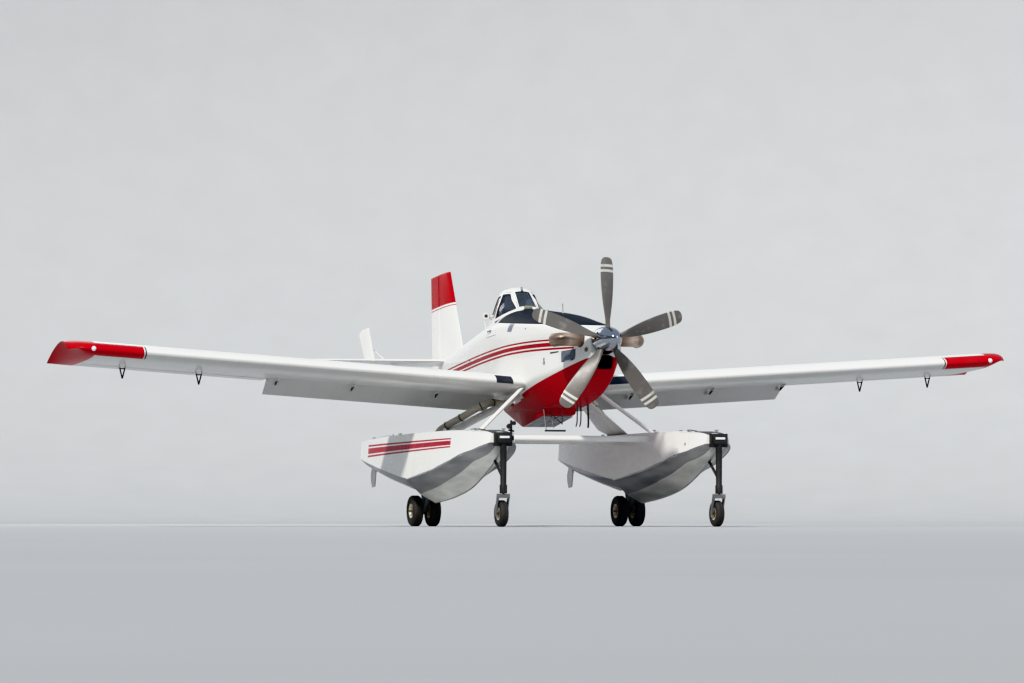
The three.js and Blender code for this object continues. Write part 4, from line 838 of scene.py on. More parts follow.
def dial_marks(place):
    marks = place.noise(70.0, 2.0).past(0.62, 0.02)
    return {"Base Color": marks.mix((0.01, 0.01, 0.011), (0.55, 0.55, 0.5)),
            "Roughness": place.noise(20.0) * 0.1 + 0.2}


dial_face = finish("dial_faces", dial_marks)
dials, bezels = [], []
for row, up in enumerate((0.695, 0.595, 0.505)):
    for k in range(7 - row):
        x = (k - (6 - row) / 2) * 0.105
        r = 0.040 - 0.006 * row
        dials.append(rod((x, face + BUTT, up), (x, face + 0.004, up), r * 0.86, 24))
        bezels.append(fresh("bezel", rod((x, face + BUTT, up), (x, face + 0.007, up), r, 24)))
        carved(bezels[-1], rod((x, face - 0.01, up), (x, face + 0.02, up), r * 0.87, 24))
fitted(fresh("panel_dials", *dials), dial_face)
ring = bezels[0]
ring.name = "panel_bezels"
carved(ring, *bezels[1:], how="UNION")
fitted(ring, gear_steel)

# Control stick: a black-painted tube on a floor plate, with a moulded grip. The engine is one plain
# steel block inside the cowl, in two diameters.
stick = fresh("stick", box_shape(-0.09, 0.09, 4.90, 5.08, floor_up, floor_up + 0.04))
carved(stick, rod((0, 4.99, floor_up + 0.03), (0, 5.01, 0.47), 0.016, 20),
       rod((0, 5.01, 0.46), (0, 4.995, 0.59), 0.024, 24), how="UNION")
fitted(stick, bumper_rubber, ["control_stick"], bevel=0.004)
engine = fresh("engine_core", rod((0, 0.76, 0), (0, 1.4996, 0), 0.200, 48),
               rod((0, 1.4997, 0), (0, FIREWALL - 2 * BUTT, 0), 0.235, 48))
fitted(engine, gear_steel, ["engine"], bevel=0.006)

# Drop gate: a red welded box under the hopper that lets the water go, its bottom sloping down aft.
# Its two bare aluminium doors swing down from hinges along the outer edges.
GATE = Sizes(front=2.960, back=5.600, top_half=0.350, half=0.290, door_front=3.210, door_back=4.230,
             thick=0.016, slope_front=(3.080, -1.110), slope_back=(4.340, -1.245))


def gate_bottom(aft):
    (y0, z0), (y1, z1) = GATE.slope_front, GATE.slope_back
    return z0 + (z1 - z0) * (aft - y0) / (y1 - y0)


def gate_ring(aft, bottom, half, top=-0.9):
    return both_halves(eased([(0, top), (GATE.top_half, top), (half, bottom), (0, bottom)], 0.022), aft)


def gate_paint(place):
    out, aft, up = level_place(place)
    worn = place.noise(3.0, 5.0, (1, 0.4, 1))
    drips = place.noise(6.0, 4.0, (2.0, 2.0, 0.15))
    base = ((worn + drips * 0.5 - 0.72) * 3).most(0).least(1).mix(RED, (0.20, 0.012, 0.014))
    return {"Base Color": base, "Roughness": worn * 0.3 + 0.2}


red_gate = finish("gate_paint", gate_paint, Coat_Weight=0.1, Specular_IOR_Level=0.1)
gate = fresh("gate_box", skin([gate_ring(GATE.front, gate_bottom(GATE.front) + 0.09, GATE.half - 0.02),
                               gate_ring(GATE.slope_front[0], GATE.slope_front[1], GATE.half),
                               gate_ring(GATE.slope_back[0], GATE.slope_back[1], GATE.half),
                               gate_ring(GATE.slope_back[0] + 0.12, GATE.slope_back[1] + 0.012,
                                         GATE.half - 0.012),
                               gate_ring(GATE.back, -0.87, GATE.half - 0.06, -0.6)]))
carved(gate, body_room(2.5, 6))
fitted(gate, red_gate, ["drop_gate"])

bare_finish = mottled("bare_sheet", (4.0, 5.0), (0.34, 0.35, 0.355), (0.56, 0.565, 0.57),
                      (30.0, 3.0, (1, 6, 1)), 0.25, 0.25, 0.0006, Metallic=0.9)
for side, hand in SIDES:
    inner, outer, drop = hand * ROOM, hand * (GATE.half - 0.002), 2 * BUTT
    rings = []
    for aft in (GATE.door_front, GATE.door_back):
        up = gate_bottom(aft) - drop
        rings.append([(inner, aft, up), (outer, aft, up), (outer, aft, up - GATE.thick),
                      (inner, aft, up - GATE.thick)])
    door = fresh("drop_door_" + side, skin(rings))
    dents = []
    for k in range(5):
        aft = GATE.door_front + 0.10 + k * 0.205
        up = gate_bottom(aft + 0.04) - drop - GATE.thick
        near, far = sorted((hand * 0.04, hand * 0.255))
        dents.append(box_shape(near, far, aft, aft + 0.08, up - 0.02, up + 0.005))
    carved(door, *dents)
    fitted(door, bare_finish, ["gate_door_" + side], body="drop_door_" + side, bevel=0.003)

# Rivets and screws: domed heads in rows along every frame and seam of the fuselage's skins, set by
# a tree that puts one head on each marked point, facing out. Each mesh of them takes its skin's paint.


def planted(name, piece, settings):
    """A node tree that plants a small mesh on every vertex, turned to its facing and along vectors."""
    tree = bpy.data.node_groups.new(name, "GeometryNodeTree")
    tree.interface.new_socket("Places", in_out="INPUT", socket_type="NodeSocketGeometry")
    for label, value in settings.items():
        tree.interface.new_socket(label, in_out="INPUT", socket_type="NodeSocketFloat").default_value = value
    tree.interface.new_socket("Finish", in_out="INPUT", socket_type="NodeSocketMaterial")
    tree.interface.new_socket("Pieces", in_out="OUTPUT", socket_type="NodeSocketGeometry")

    def add(kind, inputs, **props):
        node = tree.nodes.new(kind)
        for key, value in props.items():
            setattr(node, key, value)
        for key, value in inputs.items():
            if isinstance(value, bpy.types.NodeSocket):
                tree.links.new(value, node.inputs[key])
            else:
                node.inputs[key].default_value = value
        return node.outputs[0]

    given = tree.nodes.new("NodeGroupInput")
    facing = add("GeometryNodeInputNamedAttribute", {"Name": "facing"}, data_type="FLOAT_VECTOR")
    along = add("GeometryNodeInputNamedAttribute", {"Name": "along"}, data_type="FLOAT_VECTOR")
    turned_up = add("FunctionNodeAlignRotationToVector", {"Vector": facing}, axis="Z")
    turned_on = add("FunctionNodeAlignRotationToVector", {"Vector": along, "Rotation": turned_up}, axis="X",
                    pivot_axis="Z")
    small = piece(add, given.outputs)
    many = add("GeometryNodeInstanceOnPoints",
               {"Points": given.outputs["Places"], "Instance": small, "Rotation": turned_on})
    real = add("GeometryNodeRealizeInstances", {"Geometry": many})
    made = add("GeometryNodeSetMaterial", {"Geometry": real, "Material": given.outputs["Finish"]})
    tree.links.new(made, tree.nodes.new("NodeGroupOutput").inputs["Pieces"])
    return tree


def strewn(name, tree, places, material, **sizes):
    """A plain mesh of a tree's small pieces, one at each (point, facing, along)."""
    mesh = bpy.data.meshes.new(name)
    mesh.from_pydata([p for p, _, _ in places], [], [])
    for label, column in (("facing", 1), ("along", 2)):
        data = mesh.attributes.new(label, "FLOAT_VECTOR", "POINT").data
        data.foreach_set("vector", [c for place in places for c in place[column]])
    obj = linked(name, mesh)
    step = obj.modifiers.new("planting", "NODES")
    step.node_group = tree
    for item in tree.interface.items_tree:
        if item.in_out == "INPUT" and item.name in sizes:
            step[item.identifier] = sizes[item.name]
        elif item.in_out == "INPUT" and item.name == "Finish":
            step[item.identifier] = material
    return settled(obj)


def sown(name, tree, places, material, slot, body="airframe", **sizes):
    """Strews small pieces on surfaces that stand in place already, and fits them."""
    return fitted(strewn(name, tree, places, material, **sizes), material, body=body, stance=PLACED)


def head_shape(add, sizes):
    top = add("ShaderNodeMath", {0: sizes["Radius"], 1: 0.55}, operation="MULTIPLY")
    return add("GeometryNodeMeshCone", {"Vertices": 6, "Radius Bottom": sizes["Radius"], "Radius Top": top,
                                        "Depth": sizes["Height"]})


def slat_shape(add, sizes):
    size = add("ShaderNodeCombineXYZ", {"X": sizes["Length"], "Y": sizes["Width"], "Z": sizes["Depth"]})
    return add("GeometryNodeMeshCube", {"Size": size})


def band_shape(add, sizes):
    ring = add("GeometryNodeCurvePrimitiveCircle", {"Resolution": 24, "Radius": sizes["Radius"]})
    wire = add("GeometryNodeCurvePrimitiveCircle", {"Resolution": 6, "Radius": sizes["Thickness"]})
    return add("GeometryNodeCurveToMesh", {"Curve": ring, "Profile Curve": wire})


heads = planted("rivet_heads", head_shape, {"Radius": 0.0045, "Height": 0.0014})
slats = planted("slat_rows", slat_shape, {"Length": 0.1, "Width": 0.006, "Depth": 0.008})
bands = planted("hose_bands", band_shape, {"Radius": 0.06, "Thickness": 0.006})
NO_TURN = (0, 0, 0)


def marked(carriers, seeds, reach=0.05):
    """Where rays of (origin, direction) meet the carriers' surfaces, and which way these face."""
    trees = [BVHTree.FromPolygons([v.co for v in c.data.vertices], [p.vertices for p in c.data.polygons])
             for c in carriers]
    places = []
    for origin, direction in seeds:
        for tree in trees:
            point, normal, _, far = tree.ray_cast(origin, direction, 2 * reach)
            if point is not None and normal.dot(direction) < -0.2:
                places.append((tuple(point), tuple(normal), NO_TURN))
                break
    return places


def walk(ring, spacing):
    """Points at even spacing round a ring, with the direction inwards at each."""
    centre = sum((Vector(p) for p in ring), Vector()) / len(ring)
    seeds, left = [], 0.0
    for a, b in zip(ring, ring[1:] + ring[:1]):
        a, b = Vector(a), Vector(b)
        edge = b - a
        if edge.length < 1e-5:
            continue
        inward = edge.cross(Vector((0, 1, 0))).normalized()
        if inward.dot(centre - (a + b) / 2) < 0:
            inward = -inward
        far = left
        while far < edge.length:
            seeds.append((a + edge * (far / edge.length), inward))
            far += spacing
        left = far - edge.length
    return seeds


def rays(seeds, stance, reach=0.05):
    turn = stance.to_3x3()
    return [(stance @ (point - inward * reach), turn @ inward) for point, inward in seeds]


frames = [0.655, 1.030, 1.590, 1.645, 2.655, 2.715, 3.170, 3.650, 4.080, 4.475, 4.530, 6.270, 6.335, 6.900,
          7.500, 8.100, 8.700, 9.300, 9.850, 10.100]
seeds = [seed for aft in frames for seed in walk(fuselage_ring(aft), 0.050)]
for k in (12, 20, 26, 33, 41, 48):  # points of a ring that seams run along
    for aft in spaced(2.76, 10.0, 0.055):
        point = Vector(fuselage_ring(aft)[k])
        seeds.append((point, (Vector((0, aft, 0.1)) - point).normalized()))
skins = [hopper, aft_shell, upper_cowl, lower_cowl, tub]
studs = marked(skins, rays(seeds, NOSE_UP))
sown("fuselage_rivets", heads, studs, airframe_paint, "white_paint")

# Window screws: small steel heads round the side windows, in the canopy's frame and in the doors.
# Those of a door ride with it.
for side, hand in SIDES:
    for label, outline, body, carrier in (("quarter", QUARTER, "airframe", cage),
                                          ("door", DOOR_WINDOW, "cockpit_door_" + side, door_skins[side])):
        edge = rounded(grown(outline, 0.014), 0.04)
        seeds = []
        points = [Vector((0, aft, up)) for aft, up in edge]
        for a, b in zip(points, points[1:] + points[:1]):
            count = max(1, round((b - a).length / 0.045))
            seeds += [(Vector((hand * 0.75, *(a + (b - a) * (k / count)).yz)), Vector((-hand, 0, 0)))
                      for k in range(count)]
        turn = NOSE_UP.to_3x3()
        seeds = [(NOSE_UP @ origin, turn @ direction) for origin, direction in seeds]
        screws = marked([carrier], seeds, 0.4)
        sown(f"{label}_screws_{side}", heads, screws, gear_steel, "steel", body, Radius=0.0040)

# Cowl fittings: a louvred outlet in each cheek with a slot behind it, a ringed ram inlet ahead of it,
# dark studs and a ball-ended vent, all fastened on the outside of the panels. The outlet's blue-grey
# slats over a black plate are partly painted shade.


def half_width(aft):
    return row_at(STATIONS, aft)[0]


def on_side(name, hand, outline, low, high):
    """A plate on the fuselage's upright side, from one height off the skin to another."""
    return fresh(name, skin([[(hand * (half_width(aft) + off), aft, up) for aft, up in outline]
                             for off in (low, high)]))


def turned(profile, start, along, sides=24):
    """A closed turn of (radius, distance) points about a line."""
    start, along = Vector(start), Vector(along).normalized()
    across = along.orthogonal().normalized()
    return skin([hoop(start + along * far, along, across, r, sides) for r, far in profile])


# Blue-grey finish: on the cheek outlets and the side patches it is painted shade and painted shadow, on the
# roof aerial it is the aerial's own colour.
slate_and_painted_shade = mottled("louvre_slate_and_painted_shade", (12.0,), (0.17, 0.20, 0.26), (0.27, 0.31, 0.38), (30.0,), 0.2, 0.35,
                Metallic=0.2)
VENT = Sizes(front=1.040, back=1.560, low=-0.300, high=-0.105)
INLET = Sizes(aft=0.693, up=-0.148, lean=(0.86, -0.5, 0))
STUDS = ((0.872, -0.041), (2.72, 0.10), (3.00, 0.44), (2.77, 0.114), (6.834, 0.203))
for side, hand in SIDES:
    top = [(aft, VENT.high) for aft in spaced(VENT.front, VENT.back, 0.08)]
    low = [(aft, VENT.low) for aft in spaced(VENT.back, VENT.front + 0.10, 0.08)]
    nose = [(VENT.front + 0.045, VENT.low + 0.018), (VENT.front + 0.010, VENT.low + 0.06)]
    # black plate behind the slats: painted shade in the outlet's recess
    plate = on_side("cheek_plate_" + side, hand, top + low + nose, -0.003, 0.0015)
    fitted(plate, seal_black)
    places = []
    for aft in spaced(VENT.front + 0.03, VENT.back - 0.02, 0.026):
        slope = (half_width(aft + 0.01) - half_width(aft - 0.01)) / 0.02
        out = (hand * (half_width(aft) + 0.004), aft, (VENT.high + VENT.low) / 2 + 0.004)
        places.append((out, (hand, -slope, 0), (0, 0, 1)))
    # blue-grey slats, partly painted shade
    rows = strewn("cheek_slats_" + side, slats, places, slate_and_painted_shade, Length=0.172, Width=0.012, Depth=0.007)
    fitted(rows, slate_and_painted_shade)
    slot = on_side("cheek_slot_" + side, hand,
                   [(1.66, -0.090), (1.98, -0.085), (1.98, -0.112), (1.66, -0.112)], -0.003, 0.002)
    fitted(slot, seal_black)
    middle = (hand * half_width(INLET.aft), INLET.aft, INLET.up)
    ahead = (hand * INLET.lean[0], INLET.lean[1], 0)
    ram = fresh("ram_ring_" + side, turned([(0.058, -0.03), (0.058, 0.004), (0.053, 0.012), (0.046, 0.012),
                                            (0.042, 0.004), (0.042, -0.004)], middle, ahead, 40))
    fitted(ram, airframe_paint)
    core = fresh("ram_core_" + side, turned([(0.040, -0.02), (0.040, 0.001), (0.030, 0.006), (0.012, 0.008)],
                                            middle, ahead, 32))
    fitted(core, exhaust_metal)
    small = [turned([(0.014, -0.01), (0.014, 0.006), (0.009, 0.010)], (hand * half_width(aft), aft, up),
                    (hand, 0, 0), 16) for aft, up in STUDS]
    fitted(fresh("side_studs_" + side, *small), bumper_rubber)
    vent = turned([(0.009, 0), (0.010, 0.065), (0.020, 0.072), (0.025, 0.086), (0.020, 0.100),
                   (0.006, 0.106)], (hand * (half_width(2.2) + 0.012), 2.2, -0.165), (0, 0, -1), 20)
    wide = half_width(2.2)
    stub = rod((hand * (wide - 0.01), 2.2, -0.175), (hand * (wide + 0.014), 2.2, -0.175), 0.009, 12)
    fitted(fresh("ball_vent_" + side, vent, stub), gear_steel)

# Deck and canopy fittings: a thin mast and a roof aerial, a temperature gauge ahead of the windscreen,
# a thin grey plate on each side that is a painted shadow, and a round mirror with a guide rod beside
# the starboard window.
ivory = mottled("ivory_paint", (9.0, 4.0), (0.62, 0.61, 0.56), (0.78, 0.77, 0.72), (20.0,), 0.2, 0.3)
mast = turned([(0.016, -0.02), (0.016, 0.008), (0.009, 0.020), (0.008, 0.175), (0.004, 0.18)],
              (0, 2.82, 0.712), (0, 0.08, 1), 16)
fitted(fresh("deck_mast", mast), gear_steel)
layers = [(1, 0, 1.370), (1, 0, 1.410), (0.8, 0.008, 1.436), (0.4, 0.012, 1.446)]  # size, lean, up
fin = skin([[(0.020 * size * math.sin(t), 5.160 - 0.036 * size * math.cos(t) + back, up) for t in turns(20)]
            for size, back, up in layers])
fitted(fresh("roof_aerial", fin), slate_and_painted_shade)
olive = mottled("gauge_case", (30.0,), (0.27, 0.25, 0.17), (0.40, 0.38, 0.27), (14.0,), 0.1, 0.2)
gauge = fresh("sill_gauge", box_shape(-0.125, 0.030, 4.620, 4.680, 0.976, 1.036))
fitted(gauge, olive, bevel=0.012)
gauge_foot = fresh("sill_gauge_foot", box_shape(-0.135, 0.040, 4.612, 4.690, 0.920, 0.9755))
fitted(gauge_foot, bumper_rubber, bevel=0.006)


def crest_out(aft, up):
    """How far out the fuselage's skin stands, up its side and over its shoulder."""
    wide, top, shoulder = row_at(STATIONS, aft)[:3]
    lift = max(0.0, (up - shoulder) / (top - shoulder))
    return wide * math.sqrt(1 - lift * lift)


# grey patch low on each side ahead of the canopy: a painted shadow, laid on as a thin plate
SHADOW_PATCH = ((3.772, 0.454), (4.001, 0.478), (3.872, 0.613), (3.593, 0.584))  # (aft, up) of its corners
for side, hand in SIDES:
    rings = []
    for k in range(9):
        front = Vector(SHADOW_PATCH[0]).lerp(Vector(SHADOW_PATCH[3]), k / 8)
        back = Vector(SHADOW_PATCH[1]).lerp(Vector(SHADOW_PATCH[2]), k / 8)
        edge = [front.lerp(back, n / 6) for n in range(7)]
        ring = [(hand * (crest_out(*at) + 0.003), at.x, at.y) for at in edge]
        rings.append(ring + [(hand * (crest_out(*at) - 0.003), at.x, at.y) for at in edge[::-1]])
    fitted(fresh("step_pad_" + side, skin(rings)), slate_and_painted_shade)
MIRROR, LOOK = (-0.565, 5.600, 0.930), (-0.15, -1, 0)
bowl = turned([(0.020, -0.05), (0.048, -0.04), (0.066, -0.012), (0.068, 0.004), (0.060, 0.013),
               (0.036, 0.013), (0.033, 0.006)], MIRROR, LOOK, 36)
fitted(fresh("mirror_bowl", bowl), ivory)
arm = turned([(0.045, 0), (0.036, 0.05), (0.030, 0.10), (0.030, 0.15)], (-0.415, 5.660, 0.915),
             (-0.150, -0.03, 0.012), 24)
fitted(fresh("mirror_arm", arm), ivory)
# the mirror's disc takes the same blue-grey tint, a painted sky reflection
disc = turned([(0.0325, 0.005), (0.031, 0.0085)], MIRROR, LOOK, 36)
fitted(fresh("mirror_disc", disc), sky_tinted_chrome)
guide = turned([(0.015, -0.02), (0.015, 0.012), (0.010, 0.022), (0.010, 0.15), (0.004, 0.155)],
               (-0.440, 6.000, 0.725), (-0.03, 0, 0.145), 16)
fitted(fresh("guide_rod", guide), ivory)

# Wings: one riveted box each side, with a swept-up tip, open coves for the flap and the aileron,
# flap brackets and the aileron's balance arms below. White, with the outer leading edge red and the
# underside painted light grey as painted shade.
CHORD, WING_LE, WING_UP = 2.070, 3.080, -0.590
RISE, INCIDENCE = math.tan(math.radians(3.78)), math.radians(3)
FLAP = Sizes(inner=0.745, outer=5.020, cove=0.70, hinge=0.735, drop=0.095, rest=26)
AILERON = Sizes(inner=5.060, outer=8.440, hinge=0.765, nose=0.062)
BRACKETS, BALANCES, EAR = (1.900, 3.500, 4.930), (6.430, 7.830), 0.026
TIP = [(8.480, 0, 0), (8.680, 0.008, 0.08), (8.850, 0.04, 0.42), (8.960, 0.09, 0.78),
       (9.020, 0.15, 0.97)]  # span, leading edge trimmed off, underside lifted


def foil(x, camber=0.03, thickness=0.15, crest=0.4):
    """The aerofoil's top and bottom at a fraction of the chord."""
    if x < crest:
        line = camber / crest**2 * (2 * crest * x - x * x)
    else:
        line = camber / (1 - crest) ** 2 * (1 - 2 * crest + 2 * crest * x - x * x)
    half = 5 * thickness * (0.2969 * math.sqrt(x) - 0.126 * x - 0.3516 * x**2 + 0.2843 * x**3 - 0.1015 * x**4)
    return line + half, line - half


def on_wing(out, back, height):
    """A place behind and above the leading edge, on the raised and inclined chord."""
    c, s = math.cos(INCIDENCE), math.sin(INCIDENCE)
    return out, WING_LE + back * c + height * s, WING_UP + abs(out) * RISE + height * c - back * s


def wing_point(out, fraction, surface="top"):
    """A place on the wing's surface, at a fraction of the chord."""
    top, bottom = foil(fraction)
    height = {"top": top, "bottom": bottom, "middle": (top + bottom) / 2}[surface] * CHORD
    return Vector(on_wing(out, fraction * CHORD, height))


def wing_ring(out, trim=0.0, lift=0.0):
    over, under = [], []
    for k in range(25):
        x = (1 - k / 24) ** 2
        top, bottom = foil(x)
        back = (x + (1 - x) * trim) * CHORD
        over.append((back, top * CHORD))
        if k < 24:
            under.append((back, min(bottom + (top - bottom) * lift, top - 0.0015) * CHORD))
    return [on_wing(out, back, up) for back, up in over + under[::-1]]


def behind(hand, low, high, fraction, shift=0.0):
    """Room behind a fraction of the chord, between two places along the span."""
    rings = []
    for out in (low, high):
        _, aft, up = wing_point(hand * out, fraction, "middle")
        rings.append([(hand * out, aft + shift, up - 0.5), (hand * out, aft + shift, up + 0.5),
                      (hand * out, aft + 1.5, up + 0.5), (hand * out, aft + 1.5, up - 0.5)])
    return skin(rings)


def flap_hinge(hand, out):
    return wing_point(hand * out, FLAP.hinge, "bottom") - Vector((0, 0, FLAP.drop))


def wing_paint(place, arms=True):
    out, aft, up = level_place(place)
    span = abs(out)
    chord_line, nose_line = aft - WING_LE, up - WING_UP - span * RISE
    front = 1 - chord_line.past(0.17, 0.01)
    red_tip = (span.past(7.7) * front + span.past(8.56, 0.01)).least(1)
    patch = (out.within(0.88, 1.38) + (out * -1).within(0.88, 1.20)) * front * nose_line.past(-0.03, 0.01)
    # the lower surface is painted light grey: painted shade on the side turned away from the light
    under = (0.02 - nose_line - chord_line * 0.052).past(0, 0.02)
    worn = paint_wear(place, 1.4)
    base = under.mix(WHITE, (0.60, 0.60, 0.585))
    rib = span.math("PINGPONG", span + 0.10, 0.225).past(0.2235, 0.001)
    base = (rib * 0.5).mix(base, (0.30, 0.29, 0.28))
    base = (span.within(7.655, 7.68) * front).mix(base, (0.06, 0.05, 0.05))
    base = red_tip.mix(base, RED)
    base = patch.mix(base, (0.035, 0.040, 0.052))
    base = (worn * 0.6).mix(base, (0.27, 0.25, 0.22))
    rough = 0.28 + worn * 0.4 + patch * 0.3
    if arms:
        hung = (nose_line * -1).past(0.172, 0.006)
        base = hung.mix(base, (0.022, 0.020, 0.022))
        rough = rough + hung * 0.15
    return {"Base Color": base, "Roughness": rough, "Coat Weight": (1 - red_tip) * (1 - patch) * 0.28}


wing_finish = finish("wing_paint", wing_paint, Coat_Roughness=0.12, Specular_IOR_Level=0.06)
flap_finish = finish("flap_paint", lambda place: wing_paint(place, False), Coat_Roughness=0.12,
                     Specular_IOR_Level=0.06)

wing_skins = []
for side, hand in SIDES:
    block = skin([wing_ring(hand * out) for out in spaced(0.560, 8.500, 0.35)])
    tip = skin([wing_ring(hand * out, *row_at(TIP, out))
                for out in (8.48, 8.58, 8.68, 8.74, 8.80, 8.85, 8.90, 8.94, 8.97, 9.0, 9.02)])
    wing = carved(fresh("wing_skin_" + side, block), body_room(2.5, 6),
                  behind(hand, FLAP.inner - ROOM, AILERON.inner, FLAP.cove, -ROOM),
                  behind(hand, AILERON.inner - ROOM, AILERON.outer + 2 * ROOM, AILERON.hinge,
                         -AILERON.nose - 2 * ROOM))
    arms = []
    for out in BRACKETS:
        top = wing_point(hand * out, FLAP.cove - 0.14, "bottom")
        back = wing_point(hand * out, FLAP.cove - 0.02, "bottom")
        pin = flap_hinge(hand, out)
        arms.append(prism([(top.y, top.z + 0.012), (back.y, back.z + 0.012), (pin.y + 0.018, pin.z + 0.004),
                           (pin.y + 0.006, pin.z - 0.018), (pin.y - 0.016, pin.z - 0.014)],
                          hand * out - 0.008, hand * out + 0.008))
    for out in BALANCES:
        _, aft, up = wing_point(hand * out, 0.58, "bottom")
        for half in (-0.062, 0.062):
            arms.append(rod((hand * out + half, aft, up + 0.012), (hand * out, aft + 0.02, up - 0.235),
                            0.013, 12))
        arms.append(rod((hand * out - 0.05, aft, up - 0.06), (hand * out + 0.05, aft, up - 0.06), 0.010, 12))
    carved(wing, tip, *arms, how="UNION")
    wing_skins.append(fitted(wing, wing_finish, ["wing_" + side]))

    # Flap: a slotted flap with a rounded nose, hung on ears below and let down for a slow approach.
    flap = carved(fresh("flap_skin_" + side, block), behind(hand, FLAP.inner, FLAP.outer, FLAP.cove),
                  how="INTERSECT")
    trim = []
    for out in (FLAP.inner - 0.05, FLAP.outer + 0.05):
        _, aft, up = wing_point(hand * out, FLAP.cove, "middle")
        trim.append([(hand * out, aft + a, up + u)
                     for a, u in ((-0.06, -0.2), (0.062, -0.2), (0.030, -0.085), (0.010, -0.045),
                                  (0.003, -0.015), (0.003, 0.02), (0.02, 0.07), (0.11, 0.2), (-0.06, 0.2))])
    carved(flap, skin(trim))
    ears = []
    for out in BRACKETS:
        pin = flap_hinge(hand, out - EAR)
        low, high = (wing_point(hand * out, FLAP.hinge + d, "bottom") for d in (0.02, 0.10))
        ears.append(prism([(pin.y - 0.016, pin.z - 0.008), (pin.y + 0.014, pin.z - 0.016),
                           (high.y, high.z + 0.01), (low.y, low.z + 0.01)], pin.x - 0.006, pin.x + 0.006))
    carved(flap, *ears, how="UNION")
    near, far = flap_hinge(hand, FLAP.inner), flap_hinge(hand, FLAP.outer)
    axis = (far - near).normalized() * hand
    swing = Matrix.Rotation(math.radians(-FLAP.rest), 4, axis)
    lowered = NOSE_UP @ Matrix.Translation(near) @ swing @ Matrix.Translation(-near)
    fitted(flap, flap_finish, ["flap_" + side], body="flap_unit_" + side, stance=lowered)

    # Aileron: hinged inside the wing's section, its round nose centred on the hinge.
    rear = carved(fresh("aileron_skin_" + side, block),
                  behind(hand, AILERON.inner, AILERON.outer, AILERON.hinge), how="INTERSECT")
    a, b = (wing_point(hand * out, AILERON.hinge, "middle") for out in (AILERON.inner, AILERON.outer))
    ends = sorted((hand * AILERON.inner, hand * AILERON.outer))
    nose = carved(fresh("nose", rod(a, b, AILERON.nose, 32)), block, box_shape(*ends, 2, 7, -2, 2),
                  how="INTERSECT")
    carved(nose, behind(hand, AILERON.inner - 0.1, AILERON.outer + 0.1, AILERON.hinge, 0.02))
    carved(rear, nose, how="UNION")
    fitted(rear, flap_finish, ["aileron_" + side], body="aileron_unit_" + side)

# Tail: fin and rudder of riveted sheet on one post, and a braced stabilizer with two small fins. The
# fin's cap is red above a thin red line.
SLAB = [(0, 0), (0.03, 0.36), (0.14, 0.8), (0.34, 1), (0.7, 0.62), (1, 0.07)]  # shares of chord, half depth
FIN = Sizes(root_le=8.780, root=0.560, top_le=9.600, top=TAIL_TOP, back=LENGTH, hinge=10.235, foot=0.215,
            half=0.075, nose=0.046)
STAB = Sizes(up=0.450, half_span=2.880, le=9.560, tip_le=9.700, hinge=10.270, half=0.062, back=10.840,
             inner=0.130, outer=2.7648, root=0.345, nose=0.042)


def slab_section(steps=14):
    """Round-nosed outline of (share of chord, share of half thickness), there and back."""
    side = []
    for k in range(steps + 1):
        x = (k / steps) ** 1.7
        side.append((x, row_at(SLAB, x)[0] if x > 0.03 else 0.36 * math.sqrt(x / 0.03)))
    return side + [(x, -t) for x, t in side[:0:-1]]


def slab_ring(front, back, half, place):
    return [place(front + (back - front) * x, t * half) for x, t in slab_section()]


def fin_le(up):
    return FIN.root_le + (FIN.top_le - FIN.root_le) * (up - FIN.root) / (FIN.top - FIN.root)


def upright(up, half, front=None):
    return slab_ring(fin_le(up) if front is None else front, FIN.back, half, lambda y, t: (t, y, up))


def stab_le(out):
    return STAB.le + (STAB.tip_le - STAB.le) * abs(out) / STAB.half_span


def stab_half(out):
    return STAB.half * (1 - 0.3 * abs(out) / STAB.half_span)


def tail_paint(place):
    out, aft, up = level_place(place)
    cap = up.past(1.588) * (1 - abs(out).past(0.3))
    line = up.within(1.535, 1.552) * (1 - abs(out).past(0.3))
    worn = paint_wear(place)
    red = (cap + line).least(1)
    base = (worn * 0.5).mix(red.mix(WHITE, RED), (0.33, 0.30, 0.26))
    return {"Base Color": base, "Roughness": 0.26 + worn * 0.4, "Coat Weight": (1 - red) * 0.28}


tail_finish = finish("tail_paint", tail_paint, Coat_Roughness=0.1, Specular_IOR_Level=0.06)


def plank(grow=0.0):
    rings = []
    for out in (-2.880, -2.860, -2.8, 0, 2.8, 2.860, 2.880):
        end = {2.880: 0.45, 2.860: 0.85}.get(abs(out), 1) if not grow else 1
        back = STAB.back - {2.880: 0.06, 2.860: 0.02}.get(abs(out), 0)
        rings.append(slab_ring(stab_le(out) - grow, back + grow, stab_half(out) * end + grow,
                               lambda y, t: (out, y, STAB.up + t)))
    return skin(rings)


fin_hinge_room = FIN.hinge - FIN.nose - ROOM
fin_shell = fresh("fin_skin", skin([upright(0.3, FIN.half), upright(FIN.top - 0.03, FIN.half * 0.81),
                                    upright(FIN.top, FIN.half * 0.66)]))
carved(fin_shell, box_shape(-0.4, 0.4, fin_hinge_room, 12, 0, 3), body_room(8, TAIL_END), plank(BUTT))
fitted(fin_shell, tail_finish, ["fin"])

rudder = fresh("rudder_skin", skin([upright(FIN.foot, FIN.half, fin_le(FIN.root)),
                                    upright(FIN.top - 0.034, FIN.half * 0.81),
                                    upright(FIN.top - 0.004, FIN.half * 0.66)]))
carved(rudder, box_shape(-0.4, 0.4, FIN.hinge, 12, 0, 3), how="INTERSECT")
nose = rod((0, FIN.hinge, FIN.foot), (0, FIN.hinge, FIN.top - 0.004), FIN.nose, 32, FIN.nose * 0.84)
carved(rudder, nose, how="UNION")
fitted(rudder, tail_finish, ["rudder"], body="rudder_unit")

# Stabilizer: one plank of riveted sheet through the tail cone, with a small braced fin and a strut on
# each side. The elevators are the plank's rear, on round noses at their hinge.


